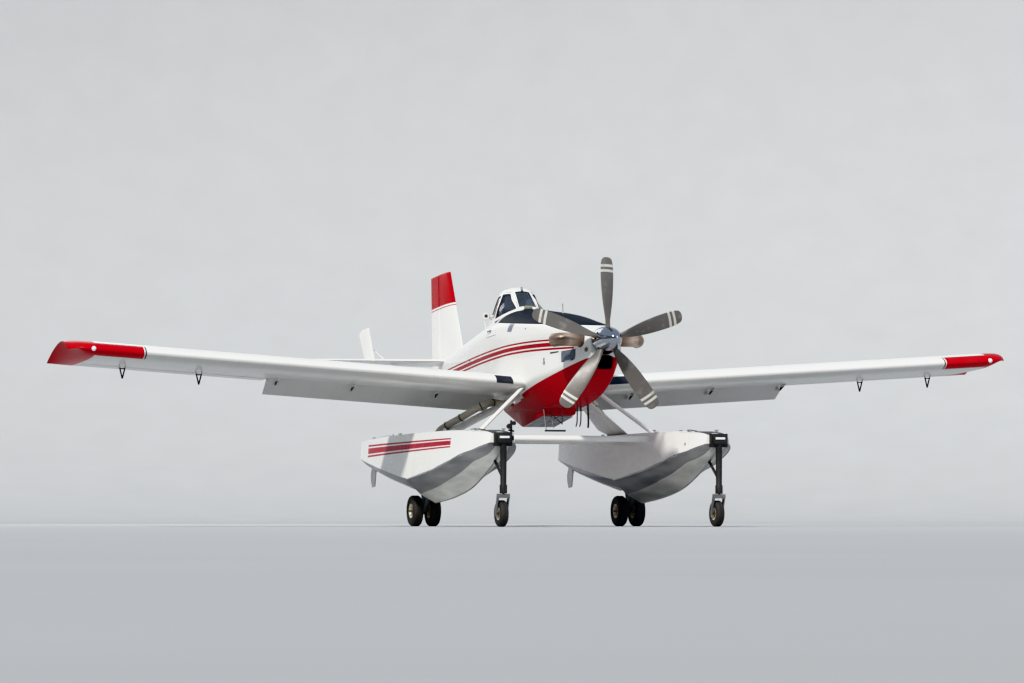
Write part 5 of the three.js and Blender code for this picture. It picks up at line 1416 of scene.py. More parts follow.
def strut(start, end, chord, thick, end_chord=None):
    """A streamlined bar between two points."""
    start, end = Vector(start), Vector(end)
    along = (end - start).normalized()
    aft = (Vector((0, 1, 0)) - along * along.y).normalized()
    across, rings = along.cross(aft), []
    for point, size in ((start, chord), (end, chord if end_chord is None else end_chord)):
        ring = []
        for t in turns(24):
            c = -0.5 * math.cos(t)
            half = 0.5 * math.sin(t) * (1 - 0.42 * max(0, c + 0.15) / 0.65)
            ring.append(tuple(point + aft * c * size + across * half * thick))
        rings.append(ring)
    return skin(rings)


stab = carved(fresh("stabilizer_skin", plank()), box_shape(-4, 4, STAB.hinge - STAB.nose - ROOM, 12, 0, 1),
              box_shape(-0.072, 0.072, FIN.hinge - 0.11, 12, 0, 1))
for _, hand in SIDES:
    x, le = hand * 1.575, 9.640
    sections = [(0.44, le - 0.03, le + 0.62), (1.03, 9.95, 10.67), (1.09, 9.975, 10.60), (1.12, 10.01, 10.43)]
    rings = [slab_ring(front, back, 0.022 if up < 1.1 else 0.014, lambda y, t: (x + t, y, up))
             for up, front, back in sections]
    small = fresh("finlet", skin(rings))
    carved(small, rod((x - hand * 0.005, le + 0.33, 0.76), (x - hand * 0.37, le + 0.33, 0.43), 0.009, 12),
           how="UNION")
    carved(small, box_shape(-4, 4, STAB.hinge - 0.07, 12, 0, 0.56))
    bar = carved(fresh("bar", strut((hand * 0.06, 9.72, 0.13), (hand * 1.4, 9.86, STAB.up), 0.07, 0.024)),
                 body_room(8, TAIL_END))
    carved(stab, small, bar, how="UNION")
fitted(stab, tail_finish, ["stabilizer"])

for side, hand in SIDES:
    rear = skin([[(hand * STAB.inner, STAB.hinge, z), (hand * STAB.outer, STAB.hinge, z),
                  (hand * STAB.outer, 11, z), (hand * STAB.root, 11, z)] for z in (0, 1)])
    elevator = carved(fresh("elevator_skin_" + side, plank()), rear, how="INTERSECT")
    carved(elevator, rod((hand * STAB.inner, STAB.hinge, STAB.up), (hand * STAB.outer, STAB.hinge, STAB.up),
                         STAB.nose, 32, STAB.nose * 0.74), how="UNION")
    fitted(elevator, tail_finish, ["elevator_" + side], body="elevators")

# Floats: two stepped hulls of riveted sheet. The topsides are white with a red band; the bottoms are
# bare aluminium, scuffed and stained, with painted light on the inner facets and painted shade on the
# outer ones. Each has a well for its main wheels behind the step.
FLOAT_X, CROWN = 2.0, 0.022
FOREBODY = [  # aft, deck half width, deck, chine half width, chine, crease half width, crease, keel
    (0.290, 0.190, 1.612, 0.235, 1.430, 0.120, 1.398, 1.386),
    (0.560, 0.300, 1.642, 0.335, 1.372, 0.160, 1.275, 1.205),
    (1.200, 0.430, 1.680, 0.482, 1.262, 0.235, 1.140, 0.940),
    (2.000, 0.480, 1.697, 0.548, 1.090, 0.275, 0.925, 0.690),
    (3.000, 0.500, 1.697, 0.566, 0.960, 0.290, 0.735, 0.530),
    (4.200, 0.500, 1.690, 0.562, 0.850, 0.290, 0.590, 0.425),
]
AFTERBODY = [  # the same, behind the step
    (4.150, 0.497, 1.690, 0.550, 0.880, 0.270, 0.655, 0.520),
    (5.600, 0.480, 1.670, 0.522, 0.960, 0.250, 0.800, 0.700),
    (7.000, 0.410, 1.640, 0.442, 1.120, 0.210, 0.990, 0.900),
    (8.000, 0.310, 1.610, 0.330, 1.280, 0.160, 1.160, 1.090),
]
WELL = Sizes(front=4.270, back=5.330, half=0.215, roof=1.040)
FLOAT_RED = (0.42, 0.020, 0.042)


def hull(table, hand, grow=0.0):
    rings = []
    for aft in spaced(table[0][0], table[-1][0], 0.08):
        deck_w, deck, chine_w, chine, crease_w, crease, keel = row_at(table, aft)
        crown = [((deck_w + grow) * k / 6, deck + grow + CROWN * (1 - (k / 6) ** 2)) for k in range(7)]
        rings.append(both_halves(crown + [(chine_w + grow, chine), (crease_w + grow, crease - grow),
                                          (0, keel - grow)], aft, hand * FLOAT_X))
    return skin(rings)


def float_shape(name, hand, grow=0.0):
    return carved(fresh(name, hull(FOREBODY, hand, grow)), hull(AFTERBODY, hand, grow), how="UNION")


def float_paint(place):
    out, y, up = place.split()
    aft = y + MIDDLE
    off = abs(out) - FLOAT_X
    # the chine and the band fall away from the bow as the hull deepens, then rise to the stern
    chine = 1.46 - (aft - 0.29).most(0) * 0.235 + (aft - 1.2).most(0) * 0.075 + (aft - 2.6).most(0) * 0.06
    chine = chine.most(0.845 + (aft - 4.1).most(0) * 0.112)
    bottom = 1 - (up - chine).past(0.003)
    stripe = ((up - 1.480) + (aft - 1.9).most(0) * 0.012) / (0.74 + (aft - 1.7) * 0.055)
    band = stripe.within(-0.052, 0.052) + stripe.within(0.078, 0.112) + stripe.within(-0.112, -0.078)
    band = (band * aft.within(1.7, 7.2) * off.past(0.25, 0.02)).least(1)
    # the bottom's inner facets are painted pale as painted sunlight, and the outer ones above the crease
    # are painted darker as painted shade; both carry real scuffs and stains
    crease = (0.120 + (aft - 0.29) * 0.127).least(0.235 + (aft - 1.2) * 0.045).least(0.290)
    # mask of the inner facets, which get the painted light
    inner = 1 - (abs(off) - crease).past(0, 0.004)
    scuffs = place.noise(2.2, 6.0, (1, 0.45, 2.2))
    stains = place.noise(0.9, 5.0, (1, 0.3, 1.5))
    streaky = ((scuffs - 0.5) * 2.6 + 0.5).most(0).least(1)
    shaded_scuffed_metal = streaky.mix((0.24, 0.245, 0.255), (0.46, 0.465, 0.47))
    metal_painted_lit_and_shaded = inner.mix(shaded_scuffed_metal, streaky.mix((0.66, 0.66, 0.63), (0.93, 0.93, 0.89)))
    metal_painted_lit_and_shaded = ((stains - 0.52) * 3).most(0).least(0.8).mix(metal_painted_lit_and_shaded, (0.16, 0.155, 0.145))
    base = band.mix(WHITE, FLOAT_RED)
    frames = aft.math("PINGPONG", aft, 0.25).past(0.2484, 0.001)
    base = (frames * 0.5).mix(base, (0.30, 0.29, 0.28))
    worn = paint_wear(place, 1.6)
    base = (worn * 0.6 * (1 - band * 0.7)).mix(base, (0.30, 0.29, 0.25))
    base = bottom.mix(base, metal_painted_lit_and_shaded)
    return {"Base Color": base, "Metallic": bottom * 0.8, "Coat Weight": (1 - bottom) * (1 - band) * 0.25,
            "Roughness": 0.27 + bottom * (scuffs * 0.2 + 0.02) + worn * 0.3,
            "Bump": (scuffs * bottom, 0.004)}


float_finish = finish("float_paint", float_paint, Specular_IOR_Level=0.06)

for side, hand in SIDES:
    x = hand * FLOAT_X
    shell = float_shape("float_hull_" + side, hand)
    carved(shell, box_shape(x - WELL.half, x + WELL.half, WELL.front, WELL.back, 0, WELL.roof))
    fitted(shell, float_finish, ["float_" + side], stance=LEVEL, soft_angle=7)

# Bow gear: a black bumper box on each bow, with the fixed leg of the castering nose wheel below it.
# A steel fork turns on the leg's pin and takes the wheel's axle.
NOSE = Sizes(front=0.150, half=0.155, top=1.640, foot=1.400, swivel=0.220, trail=0.110, radius=0.232,
             width=0.150, rim=0.106, head=0.640, brace=0.690)
for side, hand in SIDES:
    x, sw, head = hand * FLOAT_X, NOSE.swivel, NOSE.head
    box = fresh("bow_gear_" + side, box_shape(x - NOSE.half, x + NOSE.half, NOSE.front + 0.04,
                                              FOREBODY[0][0] - BUTT, NOSE.foot, NOSE.top))
    parts = [box_shape(x - 0.125, x + 0.125, NOSE.front, NOSE.front + 0.06, 1.455, 1.600),
             rod((x, sw, head), (x, sw, 1.480), 0.052, 32, 0.060),
             rod((x, sw, head - 0.06), (x, sw, head + 0.09), 0.066, 32),
             rod((x, sw, head + 0.19), (x, NOSE.brace, 1.150), 0.026, 20)]
    carved(box, *parts, how="UNION")
    carved(box, float_shape("room", hand, BUTT), rod((x, sw, 0.4), (x, sw, head + 0.06), 0.027, 20))
    fitted(box, bumper_rubber, ["nose_gear_" + side], stance=LEVEL, bevel=0.006)

    arm_x, axle = NOSE.width / 2 + 0.022, sw + NOSE.trail
    fork = fresh("bow_fork_" + side,
                 box_shape(x - arm_x - 0.011, x + arm_x + 0.011, sw - 0.045, sw + 0.045, 0.500, 0.574))
    arms = [rod((x, sw, 0.56), (x, sw, head + 0.05), 0.024, 24)]
    for s in (-1, 1):
        outline = [(sw - 0.045, 0.545), (sw + 0.045, 0.545), (axle + 0.042, NOSE.radius + 0.02),
                   (axle + 0.036, NOSE.radius - 0.018), (axle + 0.02, NOSE.radius - 0.04),
                   (axle - 0.03, NOSE.radius - 0.036), (axle - 0.044, NOSE.radius + 0.02)]
        arms.append(prism(outline, x + s * arm_x - 0.011, x + s * arm_x + 0.011))
    carved(fork, *arms, how="UNION")
    carved(fork, rod((x - 0.2, axle, NOSE.radius), (x + 0.2, axle, NOSE.radius), 0.021, 24))
    fitted(fork, gear_steel, ["nose_fork_" + side], body="caster_" + side, stance=LEVEL, bevel=0.004)

# Wheels: grooved aircraft tyres on cream-painted hubs that turn dark bronze towards the axle. One
# stands below each bow, and twins on one axle stand in each well.


def wheel(x, aft, up, radius, width, rim, reach, grooves):
    """A tyre with grooves round its tread, its rims inside, all turned about its axle."""
    h = width / 2
    wall = [(rim, 0.78 * h), (rim + 0.012, 0.86 * h), (rim + (radius - rim) * 0.25, 0.97 * h),
            (rim + (radius - rim) * 0.45, h), (rim + (radius - rim) * 0.65, 0.985 * h),
            (radius - 0.026, 0.90 * h), (radius - 0.012, 0.76 * h), (radius - 0.004, 0.60 * h)]
    tread = []
    for g in grooves:
        tread += [(radius - 0.001, (g + 0.045) * h), (radius - 0.009, (g + 0.03) * h),
                  (radius - 0.009, (g - 0.03) * h), (radius - 0.001, (g - 0.045) * h)]
    outline = wall + tread + [(r, -w) for r, w in wall[::-1]]

    def about_axle(profile):
        return [[(x + w, aft + r * math.cos(t), up + r * math.sin(t)) for t in turns(56)] for r, w in profile]

    rings = about_axle(outline)
    tyre, faces = skin(rings + [rings[0]])
    hub_line = [(0.0005, reach), (0.018, reach), (0.018, 0.5 * h), (rim * 0.30, 0.5 * h),
                (rim * 0.34, 0.44 * h), (rim * 0.78, 0.50 * h), (rim * 0.86, 0.62 * h),
                (rim * 0.90, 0.80 * h), (rim + 0.006, 0.86 * h), (rim + 0.006, 0.74 * h)]
    hub = skin(about_axle(hub_line + [(r, -w) for r, w in hub_line[::-1]]))
    return (tyre, faces[2:]), hub


def from_axle(place, aft, up, rim):
    """How far a point is from a wheel's axle, in shares of its rim."""
    _, y, z = place.split()
    down, back = z - up, y - (aft - MIDDLE)
    return (down * down + back * back).math("SQRT", down * down + back * back) * (1 / rim)


def hub_cream(place):
    """Cream paint on the rim's lip, turning to dark bronze towards the axle."""
    wear = place.noise(14.0, 4.0)
    bow = from_axle(place, NOSE.swivel + NOSE.trail, NOSE.radius, NOSE.rim)
    ring = bow.least(from_axle(place, MAIN.axle, MAIN.radius, MAIN.rim))
    # dark bronze towards the axle, cream on the rim's lip
    worn = wear.mix((0.10, 0.075, 0.045), (0.24, 0.19, 0.12))
    base = ring.past(0.70, 0.06).mix(worn, wear.mix((0.62, 0.57, 0.44), (0.84, 0.80, 0.68)))
    return {"Base Color": base, "Roughness": wear * 0.2 + 0.3}


MAIN = Sizes(radius=0.285, width=0.190, rim=0.125, spread=0.170, axle=4.930, pivot=4.470)
tyre_finish = mottled("tyre_rubber", (4.0, 4.0), (0.014, 0.014, 0.015), (0.055, 0.052, 0.048),
                      (40.0, 3.0), 0.15, 0.68, 0.001)
hub_finish = finish("hub_cream", hub_cream, Metallic=0.15)

for side, hand in SIDES:
    x, axle = hand * FLOAT_X, NOSE.swivel + NOSE.trail
    tyre, hub = wheel(x, axle, NOSE.radius, NOSE.radius, NOSE.width, NOSE.rim, 0.105, (-0.4, 0, 0.4))
    fitted(fresh("bow_tyre_" + side, tyre), tyre_finish, ["nose_wheel_" + side],
           body="front_wheel_" + side, stance=LEVEL, soft_angle=40)
    fitted(fresh("bow_hub_" + side, hub), hub_finish, body="front_wheel_" + side,
           stance=LEVEL, soft_angle=30)

for side, hand in SIDES:
    x = hand * FLOAT_X
    tyres, hubs = [], []
    for offset in (-MAIN.spread, MAIN.spread):
        tyre, hub = wheel(x + offset, MAIN.axle, MAIN.radius, MAIN.radius, MAIN.width, MAIN.rim,
                          MAIN.spread - 0.0505, (-0.5, -0.17, 0.17, 0.5))
        tyres.append(tyre)
        hubs.append(hub)
    bar = rod((x - 0.16, MAIN.axle, MAIN.radius), (x + 0.16, MAIN.axle, MAIN.radius), 0.0275, 24)
    fitted(fresh("well_tyres_" + side, *tyres), tyre_finish, ["main_wheels_" + side],
           body="twin_wheels_" + side, stance=LEVEL, soft_angle=40)
    fitted(fresh("well_hubs_" + side, *hubs, bar), hub_finish, body="twin_wheels_" + side,
           stance=LEVEL, soft_angle=30)

# Main legs: a steel trailing arm on a cross pivot with its shock strut, bolted to the roof of each
# float's well. The twin wheels' axle goes through its lower end.
for side, hand in SIDES:
    x, a, p, roof = hand * FLOAT_X, MAIN.axle, MAIN.pivot, WELL.roof - BUTT
    r = MAIN.radius
    arm = prism([(p - 0.09, roof), (p + 0.11, roof), (p + 0.11, 0.82), (a + 0.052, r + 0.066),
                 (a + 0.07, r + 0.02), (a + 0.07, r - 0.01), (a + 0.052, r - 0.045), (a + 0.02, r - 0.066),
                 (a - 0.03, r - 0.06), (a - 0.062, r - 0.03), (p - 0.09, 0.8)], x - 0.046, x + 0.046)
    leg = fresh("well_leg_" + side, arm)
    parts = [box_shape(x - 0.19, x + 0.19, p - 0.06, p + 0.06, 0.88, roof),
             rod((x, a - 0.03, 0.43), (x, 5.15, WELL.roof - 0.04), 0.040, 28),
             box_shape(x - 0.08, x + 0.08, 5.06, 5.24, WELL.roof - 0.09, roof)]
    carved(leg, *parts, how="UNION")
    carved(leg, rod((x - 0.3, a, r), (x + 0.3, a, r), 0.034, 24))
    fitted(leg, gear_steel, ["main_leg_" + side], stance=LEVEL, bevel=0.004)

# Water rudders: a swept aluminium plate behind each stern, on an upright pivot that cables turn with
# the air rudder.
for side, hand in SIDES:
    x, pivot = hand * FLOAT_X, 8.075
    plate = [(pivot - 0.02, 1.42), (pivot + 0.09, 1.42), (pivot + 0.33, 0.98), (pivot + 0.31, 0.86),
             (pivot + 0.24, 0.74), (pivot + 0.06, 0.76), (pivot - 0.02, 1.06)]
    rudder_blade = fresh("stern_rudder_" + side, prism(plate, x - 0.009, x + 0.009))
    carved(rudder_blade, rod((x, pivot, 1.04), (x, pivot, 1.50), 0.024, 24), how="UNION")
    fitted(rudder_blade, bare_finish, ["water_rudder_" + side],
           body="steering_blade_" + side, stance=LEVEL, bevel=0.002)

# Float struts: streamlined white tubes in front and broad faired ones behind, from the wing roots
# down to the decks. Two round spreader bars hold the floats apart.
STRUTS = {"front": ((0.620, 3.235, -0.575), (1.730, 2.650, 1.640), 0.125, 0.074, 0.125),
          "rear": ((0.500, 3.560, -0.700), (1.790, 4.740, 1.630), 1.150, 0.090, 0.380)}


def grounded(point):
    """A place on the airframe, in the floats' level frame."""
    x, y, z = point
    c, s = math.cos(PITCH), math.sin(PITCH)
    return x, y * c + z * s, z * c - y * s + AXIS


for side, hand in SIDES:
    for end, (top, foot, chord, thick, top_chord) in STRUTS.items():
        head = grounded((hand * top[0], *top[1:]))
        base = (hand * foot[0], *foot[1:])
        bar = fresh(end + "_float_strut_" + side, strut(base, head, chord, thick, top_chord))
        body = fresh("body", body_room(2.5, 6))
        body.data.transform(LEVEL.inverted() @ NOSE_UP)
        over = fresh("wing_room", skin([[(hand * out, aft, up + (BUTT if k < 25 else -BUTT))
                                         for k, (_, aft, up) in enumerate(wing_ring(hand * out))]
                                        for out in (0.4, 2.0)]))
        over.data.transform(LEVEL.inverted() @ NOSE_UP)
        carved(bar, float_shape("room", hand, BUTT), body, over)
        fitted(bar, tail_finish, [end + "_strut_" + side], stance=LEVEL)

for end, aft, up, radius in (("front", 2.400, 1.580, 0.055), ("rear", 4.215, 1.565, 0.050)):
    bar = fresh("spreader_bar_" + end, rod((-FLOAT_X, aft, up), (FLOAT_X, aft, up), radius, 40))
    carved(bar, float_shape("room", 1, BUTT), float_shape("room", -1, BUTT))
    fitted(bar, tail_finish, ["spreader_" + end], stance=LEVEL)

# Suction hoses: ribbed beige hose from the belly to a collar on each float's deck, held in dark
# clamps along the rear strut. Bolted clevises and short white links brace the front struts' heads.


def ribbed(name, path, radius, depth=0.006, pitch=0.030, sides=18):
    """A hose along a smooth path, with a round rib at every pitch."""
    table = [(i, *point) for i, point in enumerate(path)]
    line = [Vector(row_at(table, at)) for at in spaced(0, len(path) - 1, 0.01)]
    rings, radii, left, bumps = [line[0]], [radius], 0.0, 0
    for a, b in zip(line, line[1:]):
        left += (b - a).length
        if left >= pitch / 4:
            left, bumps = 0.0, bumps + 1
            rings.append(b)
            radii.append(radius + depth * math.cos(math.pi / 2 * bumps))
    return fresh(name, skin(pipe(rings, radii, sides)))


def hose_cover(place):
    grime = place.noise(7.0, 5.0)
    return {"Base Color": grime.mix((0.60, 0.55, 0.46), (0.85, 0.80, 0.70)),
            "Roughness": place.noise(30.0) * 0.2 + 0.5, "Bump": (place.noise(60.0), 0.001)}


hose_beige = finish("hose_beige", hose_cover)
HOSE = [(0.470, 4.500, -0.850), (0.600, 4.480, -0.820), (0.850, 4.400, -0.800), (1.100, 4.340, -0.868),
        (1.400, 4.620, -1.060), (1.600, 4.850, -1.190), (1.690, 5.010, -1.270), (1.720, 5.060, -1.337)]
for side, hand in SIDES:
    path = [(hand * x, y, z) for x, y, z in HOSE]
    fitted(ribbed("suction_hose_" + side, path, 0.062), hose_beige, soft_angle=60)
    collar = fresh("hose_collar_" + side, turned([(0.115, -0.02), (0.115, 0.012), (0.086, 0.018),
                                                  (0.080, 0.060), (0.073, 0.060), (0.073, -0.02)],
                                                 (path[-1][0], path[-1][1], -1.347), (0, 0, 1), 32))
    fitted(collar, gear_steel)
    places = []
    for i in (1, 2, 3, 4, 5):
        along = (Vector(path[i + 1]) - Vector(path[i - 1])).normalized()
        places.append((path[i], tuple(along), (0, 0, 1)))
    clamps = strewn("hose_clamps_" + side, bands, places, bumper_rubber, Radius=0.068, Thickness=0.009)
    fitted(clamps, bumper_rubber, soft_angle=60)

    clevis = [turned([(0.050, -0.04), (0.050, 0.03), (0.036, 0.045), (0.036, 0.10), (0.050, 0.11),
                      (0.044, 0.13)], (hand * 0.575, 3.250, -0.560), (hand * 0.62, -0.10, -0.42), 24),
              rod((hand * 0.565, 3.150, -0.640), (hand * 0.605, 3.330, -0.640), 0.018, 12),
              rod((hand * 0.640, 3.150, -0.590), (hand * 0.665, 3.330, -0.590), 0.014, 12)]
    fitted(fresh("strut_clevis_" + side, *clevis), gear_steel)
    link = fresh("strut_link_" + side,
                 rod((hand * 0.700, 3.250, -0.830), (hand * 0.800, 3.300, -0.900), 0.026, 20))
    fitted(link, ivory, bevel=0.004)

# Belly plumbing: two dark drain tubes and a vent pipe ahead of the drop gate, with thin stay rods
# that meet on a small foot.
drains = [pipe([(0.30, 2.40, -0.93), (0.30, 2.40, -1.10), (0.31, 2.42, -1.30), (0.33, 2.50, -1.385)],
               0.017, 14)]
for x in (0.10, 0.17):
    drains.append(pipe([(x, 2.42, -0.94), (x, 2.42, -1.16), (x, 2.44, -1.30), (x, 2.50, -1.37)], 0.011, 12))
fitted(fresh("drain_tubes", *[skin(rings) for rings in drains]), bumper_rubber, soft_angle=60)
stays = [((-0.33, 3.05, -0.96), (-0.33, 2.90, -1.42)), ((-0.20, 3.05, -1.00), (-0.20, 2.88, -1.37)),
         ((-0.33, 3.05, -0.96), (0.00, 2.97, -1.29)), ((0.00, 2.97, -1.00), (0.00, 2.97, -1.30))]
fitted(fresh("stay_rods", *[rod(a, b, 0.008, 12) for a, b in stays]), gear_steel)
foot = fresh("stay_foot", box_shape(-0.36, 0.03, 2.86, 2.91, -1.435, -1.405))
fitted(foot, bumper_rubber, bevel=0.005)

# Float decks: mooring cleats, round hatch covers, gritted walkways, chine and keel strips, the water
# rudder's cables, a white lamp bar on each bow box and a black lamp bracket on the starboard one.


def deck_at(aft, off=0.0):
    half, deck = row_at(FOREBODY if aft < 4.15 else AFTERBODY, aft)[:2]
    return deck + CROWN * (1 - (off / half) ** 2)


def ribbon(name, path, wide, thick):
    """A flat strip along a path of points, wide across the float."""
    return fresh(name, skin([[(x - wide / 2, y, z), (x + wide / 2, y, z), (x + wide / 2, y, z + thick),
                              (x - wide / 2, y, z + thick)] for x, y, z in path]))


def grit(place):
    grains = place.noise(140.0, 2.0)
    return {"Base Color": grains.mix((0.03, 0.032, 0.036), (0.11, 0.112, 0.115)), "Bump": (grains, 0.002)}


walkway = finish("walkway_grit", grit, Roughness=0.85)
lamp_glass = mottled("lamp_glass", (9.0,), (0.78, 0.80, 0.80), (0.92, 0.93, 0.92), (30.0, 2.0, (1, 20, 1)),
                     0.12, 0.08, Coat_Weight=0.6)
for side, hand in SIDES:
    x = hand * FLOAT_X
    cleats = []
    for aft in (1.0, 2.8, 5.6, 7.3):
        for out in (-0.26, 0.26):
            z = deck_at(aft, out)
            cleats += [box_shape(x + out - 0.014, x + out + 0.014, aft - 0.035, aft + 0.035, z - 0.006,
                                 z + 0.028),
                       rod((x + out, aft - 0.085, z + 0.034), (x + out, aft + 0.085, z + 0.034), 0.011, 12)]
    fitted(fresh("deck_cleats_" + side, *cleats), bare_finish, stance=LEVEL, bevel=0.003)
    covers = [turned([(0.100, -0.02), (0.100, 0.006), (0.088, 0.012), (0.030, 0.013), (0.026, 0.020),
                      (0.004, 0.020)], (x, aft, deck_at(aft)), (0, 0, 1), 36)
              for aft in (1.55, 3.35, 6.15, 7.05)]
    fitted(fresh("hatch_covers_" + side, *covers), bumper_rubber, stance=LEVEL)
    for place, front, back, wide in (("aft", 3.60, 5.85, 0.26), ("bow", 0.31, 0.98, 0.34)):
        path = [(x, aft, deck_at(aft, wide / 2) - 0.003) for aft in spaced(front, back, 0.12)]
        mat = ribbon(f"{place}_walkway_{side}", path, wide, 0.012)
        fitted(mat, walkway, stance=LEVEL)
    rails = []
    keel = [(x, aft, row_at(FOREBODY, aft)[6] - 0.007) for aft in spaced(0.35, 4.15, 0.12)]
    rails.append(skin([[(px - 0.012, y, z), (px + 0.012, y, z), (px + 0.008, y, z + 0.02),
                        (px - 0.008, y, z + 0.02)] for px, y, z in keel]))
    for out in (-1, 1):
        line = [(x + out * (row_at(FOREBODY, aft)[2] + 0.001), aft, row_at(FOREBODY, aft)[3])
                for aft in spaced(0.32, 4.15, 0.12)]
        rails.append(skin(pipe(line, 0.011, 10)))
    fitted(fresh("hull_rails_" + side, *rails), bare_finish, stance=LEVEL)
    wires = [rod((x + out, 5.90, deck_at(5.9, 0.30) + 0.03), (x + out * 0.45, 8.02, 1.655), 0.0035, 8)
             for out in (-0.30, 0.30)]
    wires += [rod((x + out, 5.90, deck_at(5.9, 0.30) - 0.01), (x + out, 5.90, deck_at(5.9, 0.30) + 0.036),
                  0.010, 10) for out in (-0.30, 0.30)]
    fitted(fresh("rudder_wires_" + side, *wires), gear_steel, stance=LEVEL)
    lamp_bar = fresh("bow_lamp_" + side,
                     box_shape(x - 0.088, x + 0.088, NOSE.front - 0.014, NOSE.front + 0.01, 1.535, 1.573))
    fitted(lamp_bar, lamp_glass, stance=LEVEL, bevel=0.005)
    half, deck, chine_half, chine = row_at(FOREBODY, 0.86)[:4]
    out = half + (chine_half - half) * (deck - 1.462) / (deck - chine)
    hole = [[(x - hand * (out + off), 0.86 + 0.016 * math.cos(t), 1.462 + 0.030 * math.sin(t))
             for t in turns(20)] for off in (-0.02, 0.004)]
    fitted(fresh("hull_port_" + side, skin(hole)), seal_black, stance=LEVEL)
x = 0.17 - FLOAT_X
bracket = [rod((x, 0.30, 1.50), (x, 0.30, 1.850), 0.020, 16),
           box_shape(x - 0.035, x + 0.035, 0.26, 0.35, 1.50, 1.58),
           turned([(0.020, -0.05), (0.042, -0.03), (0.048, 0.03), (0.040, 0.036)],
                  (x - 0.045, 0.28, 1.745), (0, -1, 0), 24),
           turned([(0.016, -0.04), (0.034, -0.02), (0.038, 0.02), (0.032, 0.026)],
                  (x + 0.040, 0.28, 1.800), (0, -1, 0), 24),
           rod((x - 0.05, 0.30, 1.680), (x + 0.05, 0.30, 1.660), 0.016, 12)]
fitted(fresh("lamp_bracket", *bracket), bumper_rubber, stance=LEVEL)

# Wing fittings: vortex tabs along the top, round inspection covers below, rivets along the ribs, filler
# caps and wing-tip lights. All are small pressed or turned pieces.


def wing_seeds(hand, outs, fractions, face):
    turn, up = NOSE_UP.to_3x3(), (1 if face == "top" else -1)
    return [(NOSE_UP @ (wing_point(hand * out, f, face) + Vector((0, 0, 0.05 * up))),
             turn @ Vector((0, 0, -up))) for out in outs for f in fractions]


covers = planted("round_covers", head_shape, {"Radius": 0.062, "Height": 0.004})
for (side, hand), panel in zip(SIDES, wing_skins):
    tabs = [(p, n, tuple(NOSE_UP.to_3x3() @ Vector((0.28, 1, 0))))
            for p, n, _ in marked([panel], wing_seeds(hand, spaced(1.7, 8.4, 0.115), [0.085], "top"), 0.1)]
    sown("vortex_tabs_" + side, slats, tabs, wing_finish, "white_paint",
         Length=0.030, Width=0.0016, Depth=0.022)
    plates = marked([panel], wing_seeds(hand, spaced(1.3, 8.0, 0.45), [0.34], "bottom"), 0.1)
    sown("wing_covers_" + side, covers, plates, wing_finish, "white_paint")
    rows = []
    for outs, fractions in ((spaced(1.0, 8.45, 0.075), [0.14, 0.30, 0.52]),
                            (spaced(1.025, 8.2, 0.45), [k / 40 for k in range(4, 27)])):
        for face in ("top", "bottom"):
            rows += wing_seeds(hand, outs, fractions, face)
    sown("wing_rivets_" + side, heads, marked([panel], rows, 0.1), wing_finish, "white_paint")
    caps = []
    for out in (1.75, 4.40):
        caps.append(turned([(0.055, -0.01), (0.055, 0.003), (0.046, 0.007), (0.014, 0.007), (0.012, 0.012),
                            (0.002, 0.012)], wing_point(hand * out, 0.30, "top"), (0, -0.06, 1), 28))
    fitted(fresh("filler_caps_" + side, *caps), gear_steel)
    at = wing_point(hand * 8.60, 0.012, "middle")
    dome = turned([(0.045, 0.0), (0.044, 0.030), (0.036, 0.055), (0.020, 0.070), (0.002, 0.074)],
                  at + Vector((0, 0.02, 0)), (0, -1, 0), 24)
    fitted(fresh("tip_light_" + side, dome), lamp_glass)

# Studio: a pale floor that curves up all round into a plain backdrop, lit by one low warm key over
# the starboard bow and two soft fills, and seen through a long lens at floor level.
BOWL, SWEEP, RISE_STEPS = 170, 45, 12


def studio_grey(place):
    return {"Base Color": place.noise(0.4).mix((0.43, 0.44, 0.45), (0.47, 0.48, 0.49))}


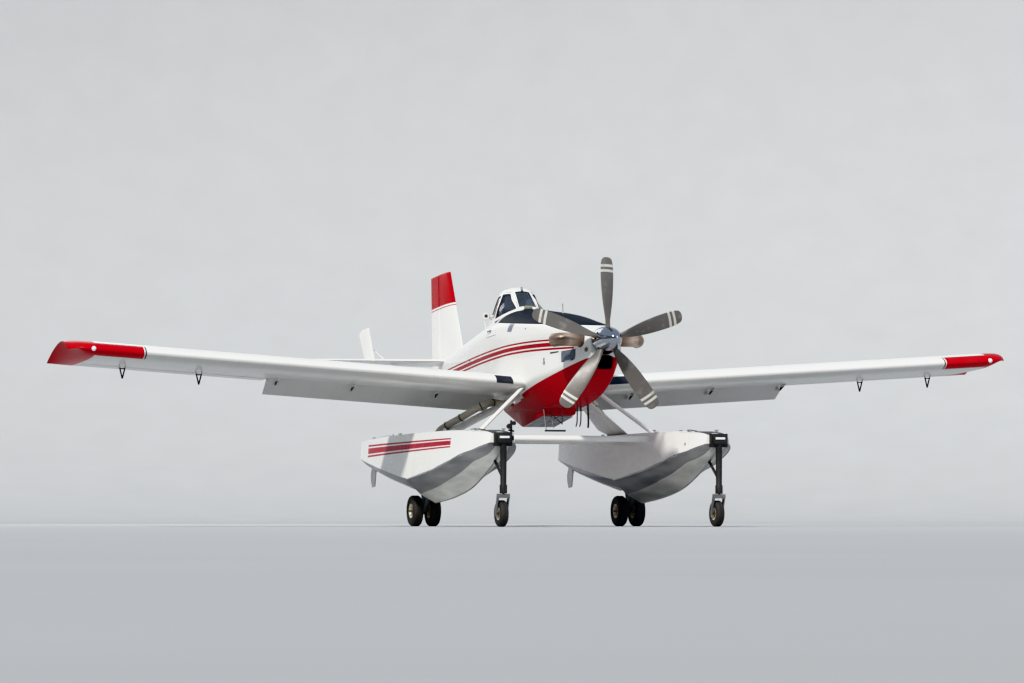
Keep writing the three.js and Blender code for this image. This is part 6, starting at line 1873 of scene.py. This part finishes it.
rim = [(0.5, 0), (BOWL - SWEEP, 0)]
for k in range(1, RISE_STEPS + 1):
    turn = math.pi / 2 * k / RISE_STEPS
    rim.append((BOWL - SWEEP + SWEEP * math.sin(turn), SWEEP - SWEEP * math.cos(turn)))
rim.append((BOWL, 2 * SWEEP))
rings = [[(r * math.cos(t), r * math.sin(t), up) for t in turns(96)] for r, up in rim]
points, faces = skin(rings)
floor_mesh = bpy.data.meshes.new("studio_floor")
floor_mesh.from_pydata(points, [], [face[::-1] for face in faces[2:]] + [faces[0]])
floor = linked("studio_floor", floor_mesh)
floor.data.shade_smooth()
floor.data.materials.append(finish("studio_floor", studio_grey, Roughness=0.85, Specular_IOR_Level=0.2))

world = bpy.data.worlds.new("studio")
bpy.context.scene.world = world
world.use_nodes = True
world.node_tree.nodes["Background"].inputs["Color"].default_value = (0.74, 0.85, 1.0, 1)
world.node_tree.nodes["Background"].inputs["Strength"].default_value = 0.54
bpy.context.scene.view_settings.view_transform = "Khronos PBR Neutral"


def lamp(name, kind, place, target, strength, size, tint=(1, 1, 1)):
    data = bpy.data.lights.new(name, kind)
    data.energy, data.color = strength, tint
    if kind == "SUN":
        data.angle = size
    else:
        data.size = size
    obj = linked(name, data)
    obj.location = place
    obj.rotation_euler = (Vector(target) - Vector(place)).to_track_quat("-Z", "Y").to_euler()


lamp("key", "SUN", (-16, -18, 24), (0, 0, 1), 3.7, 0.09, (1.0, 0.965, 0.91))
lamp("fill", "AREA", (24, -26, 14), (0, 0, 2), 1900, 18, (0.90, 0.95, 1.0))
lamp("rim", "AREA", (-6, 26, 16), (0, 3, 3), 1200, 14)

CAMERA_AT, LENS = (-23.490, -70.888, 0.15), 140.12
YAW, TILT = math.radians(18.257), math.radians(2.539)
lens = bpy.data.cameras.new("camera")
lens.sensor_width, lens.lens, lens.clip_end = 36, LENS, 2000
camera = linked("camera", lens)
camera.location = CAMERA_AT
camera.rotation_euler = (math.pi / 2 + TILT, 0, -YAW)
bpy.context.scene.camera = camera
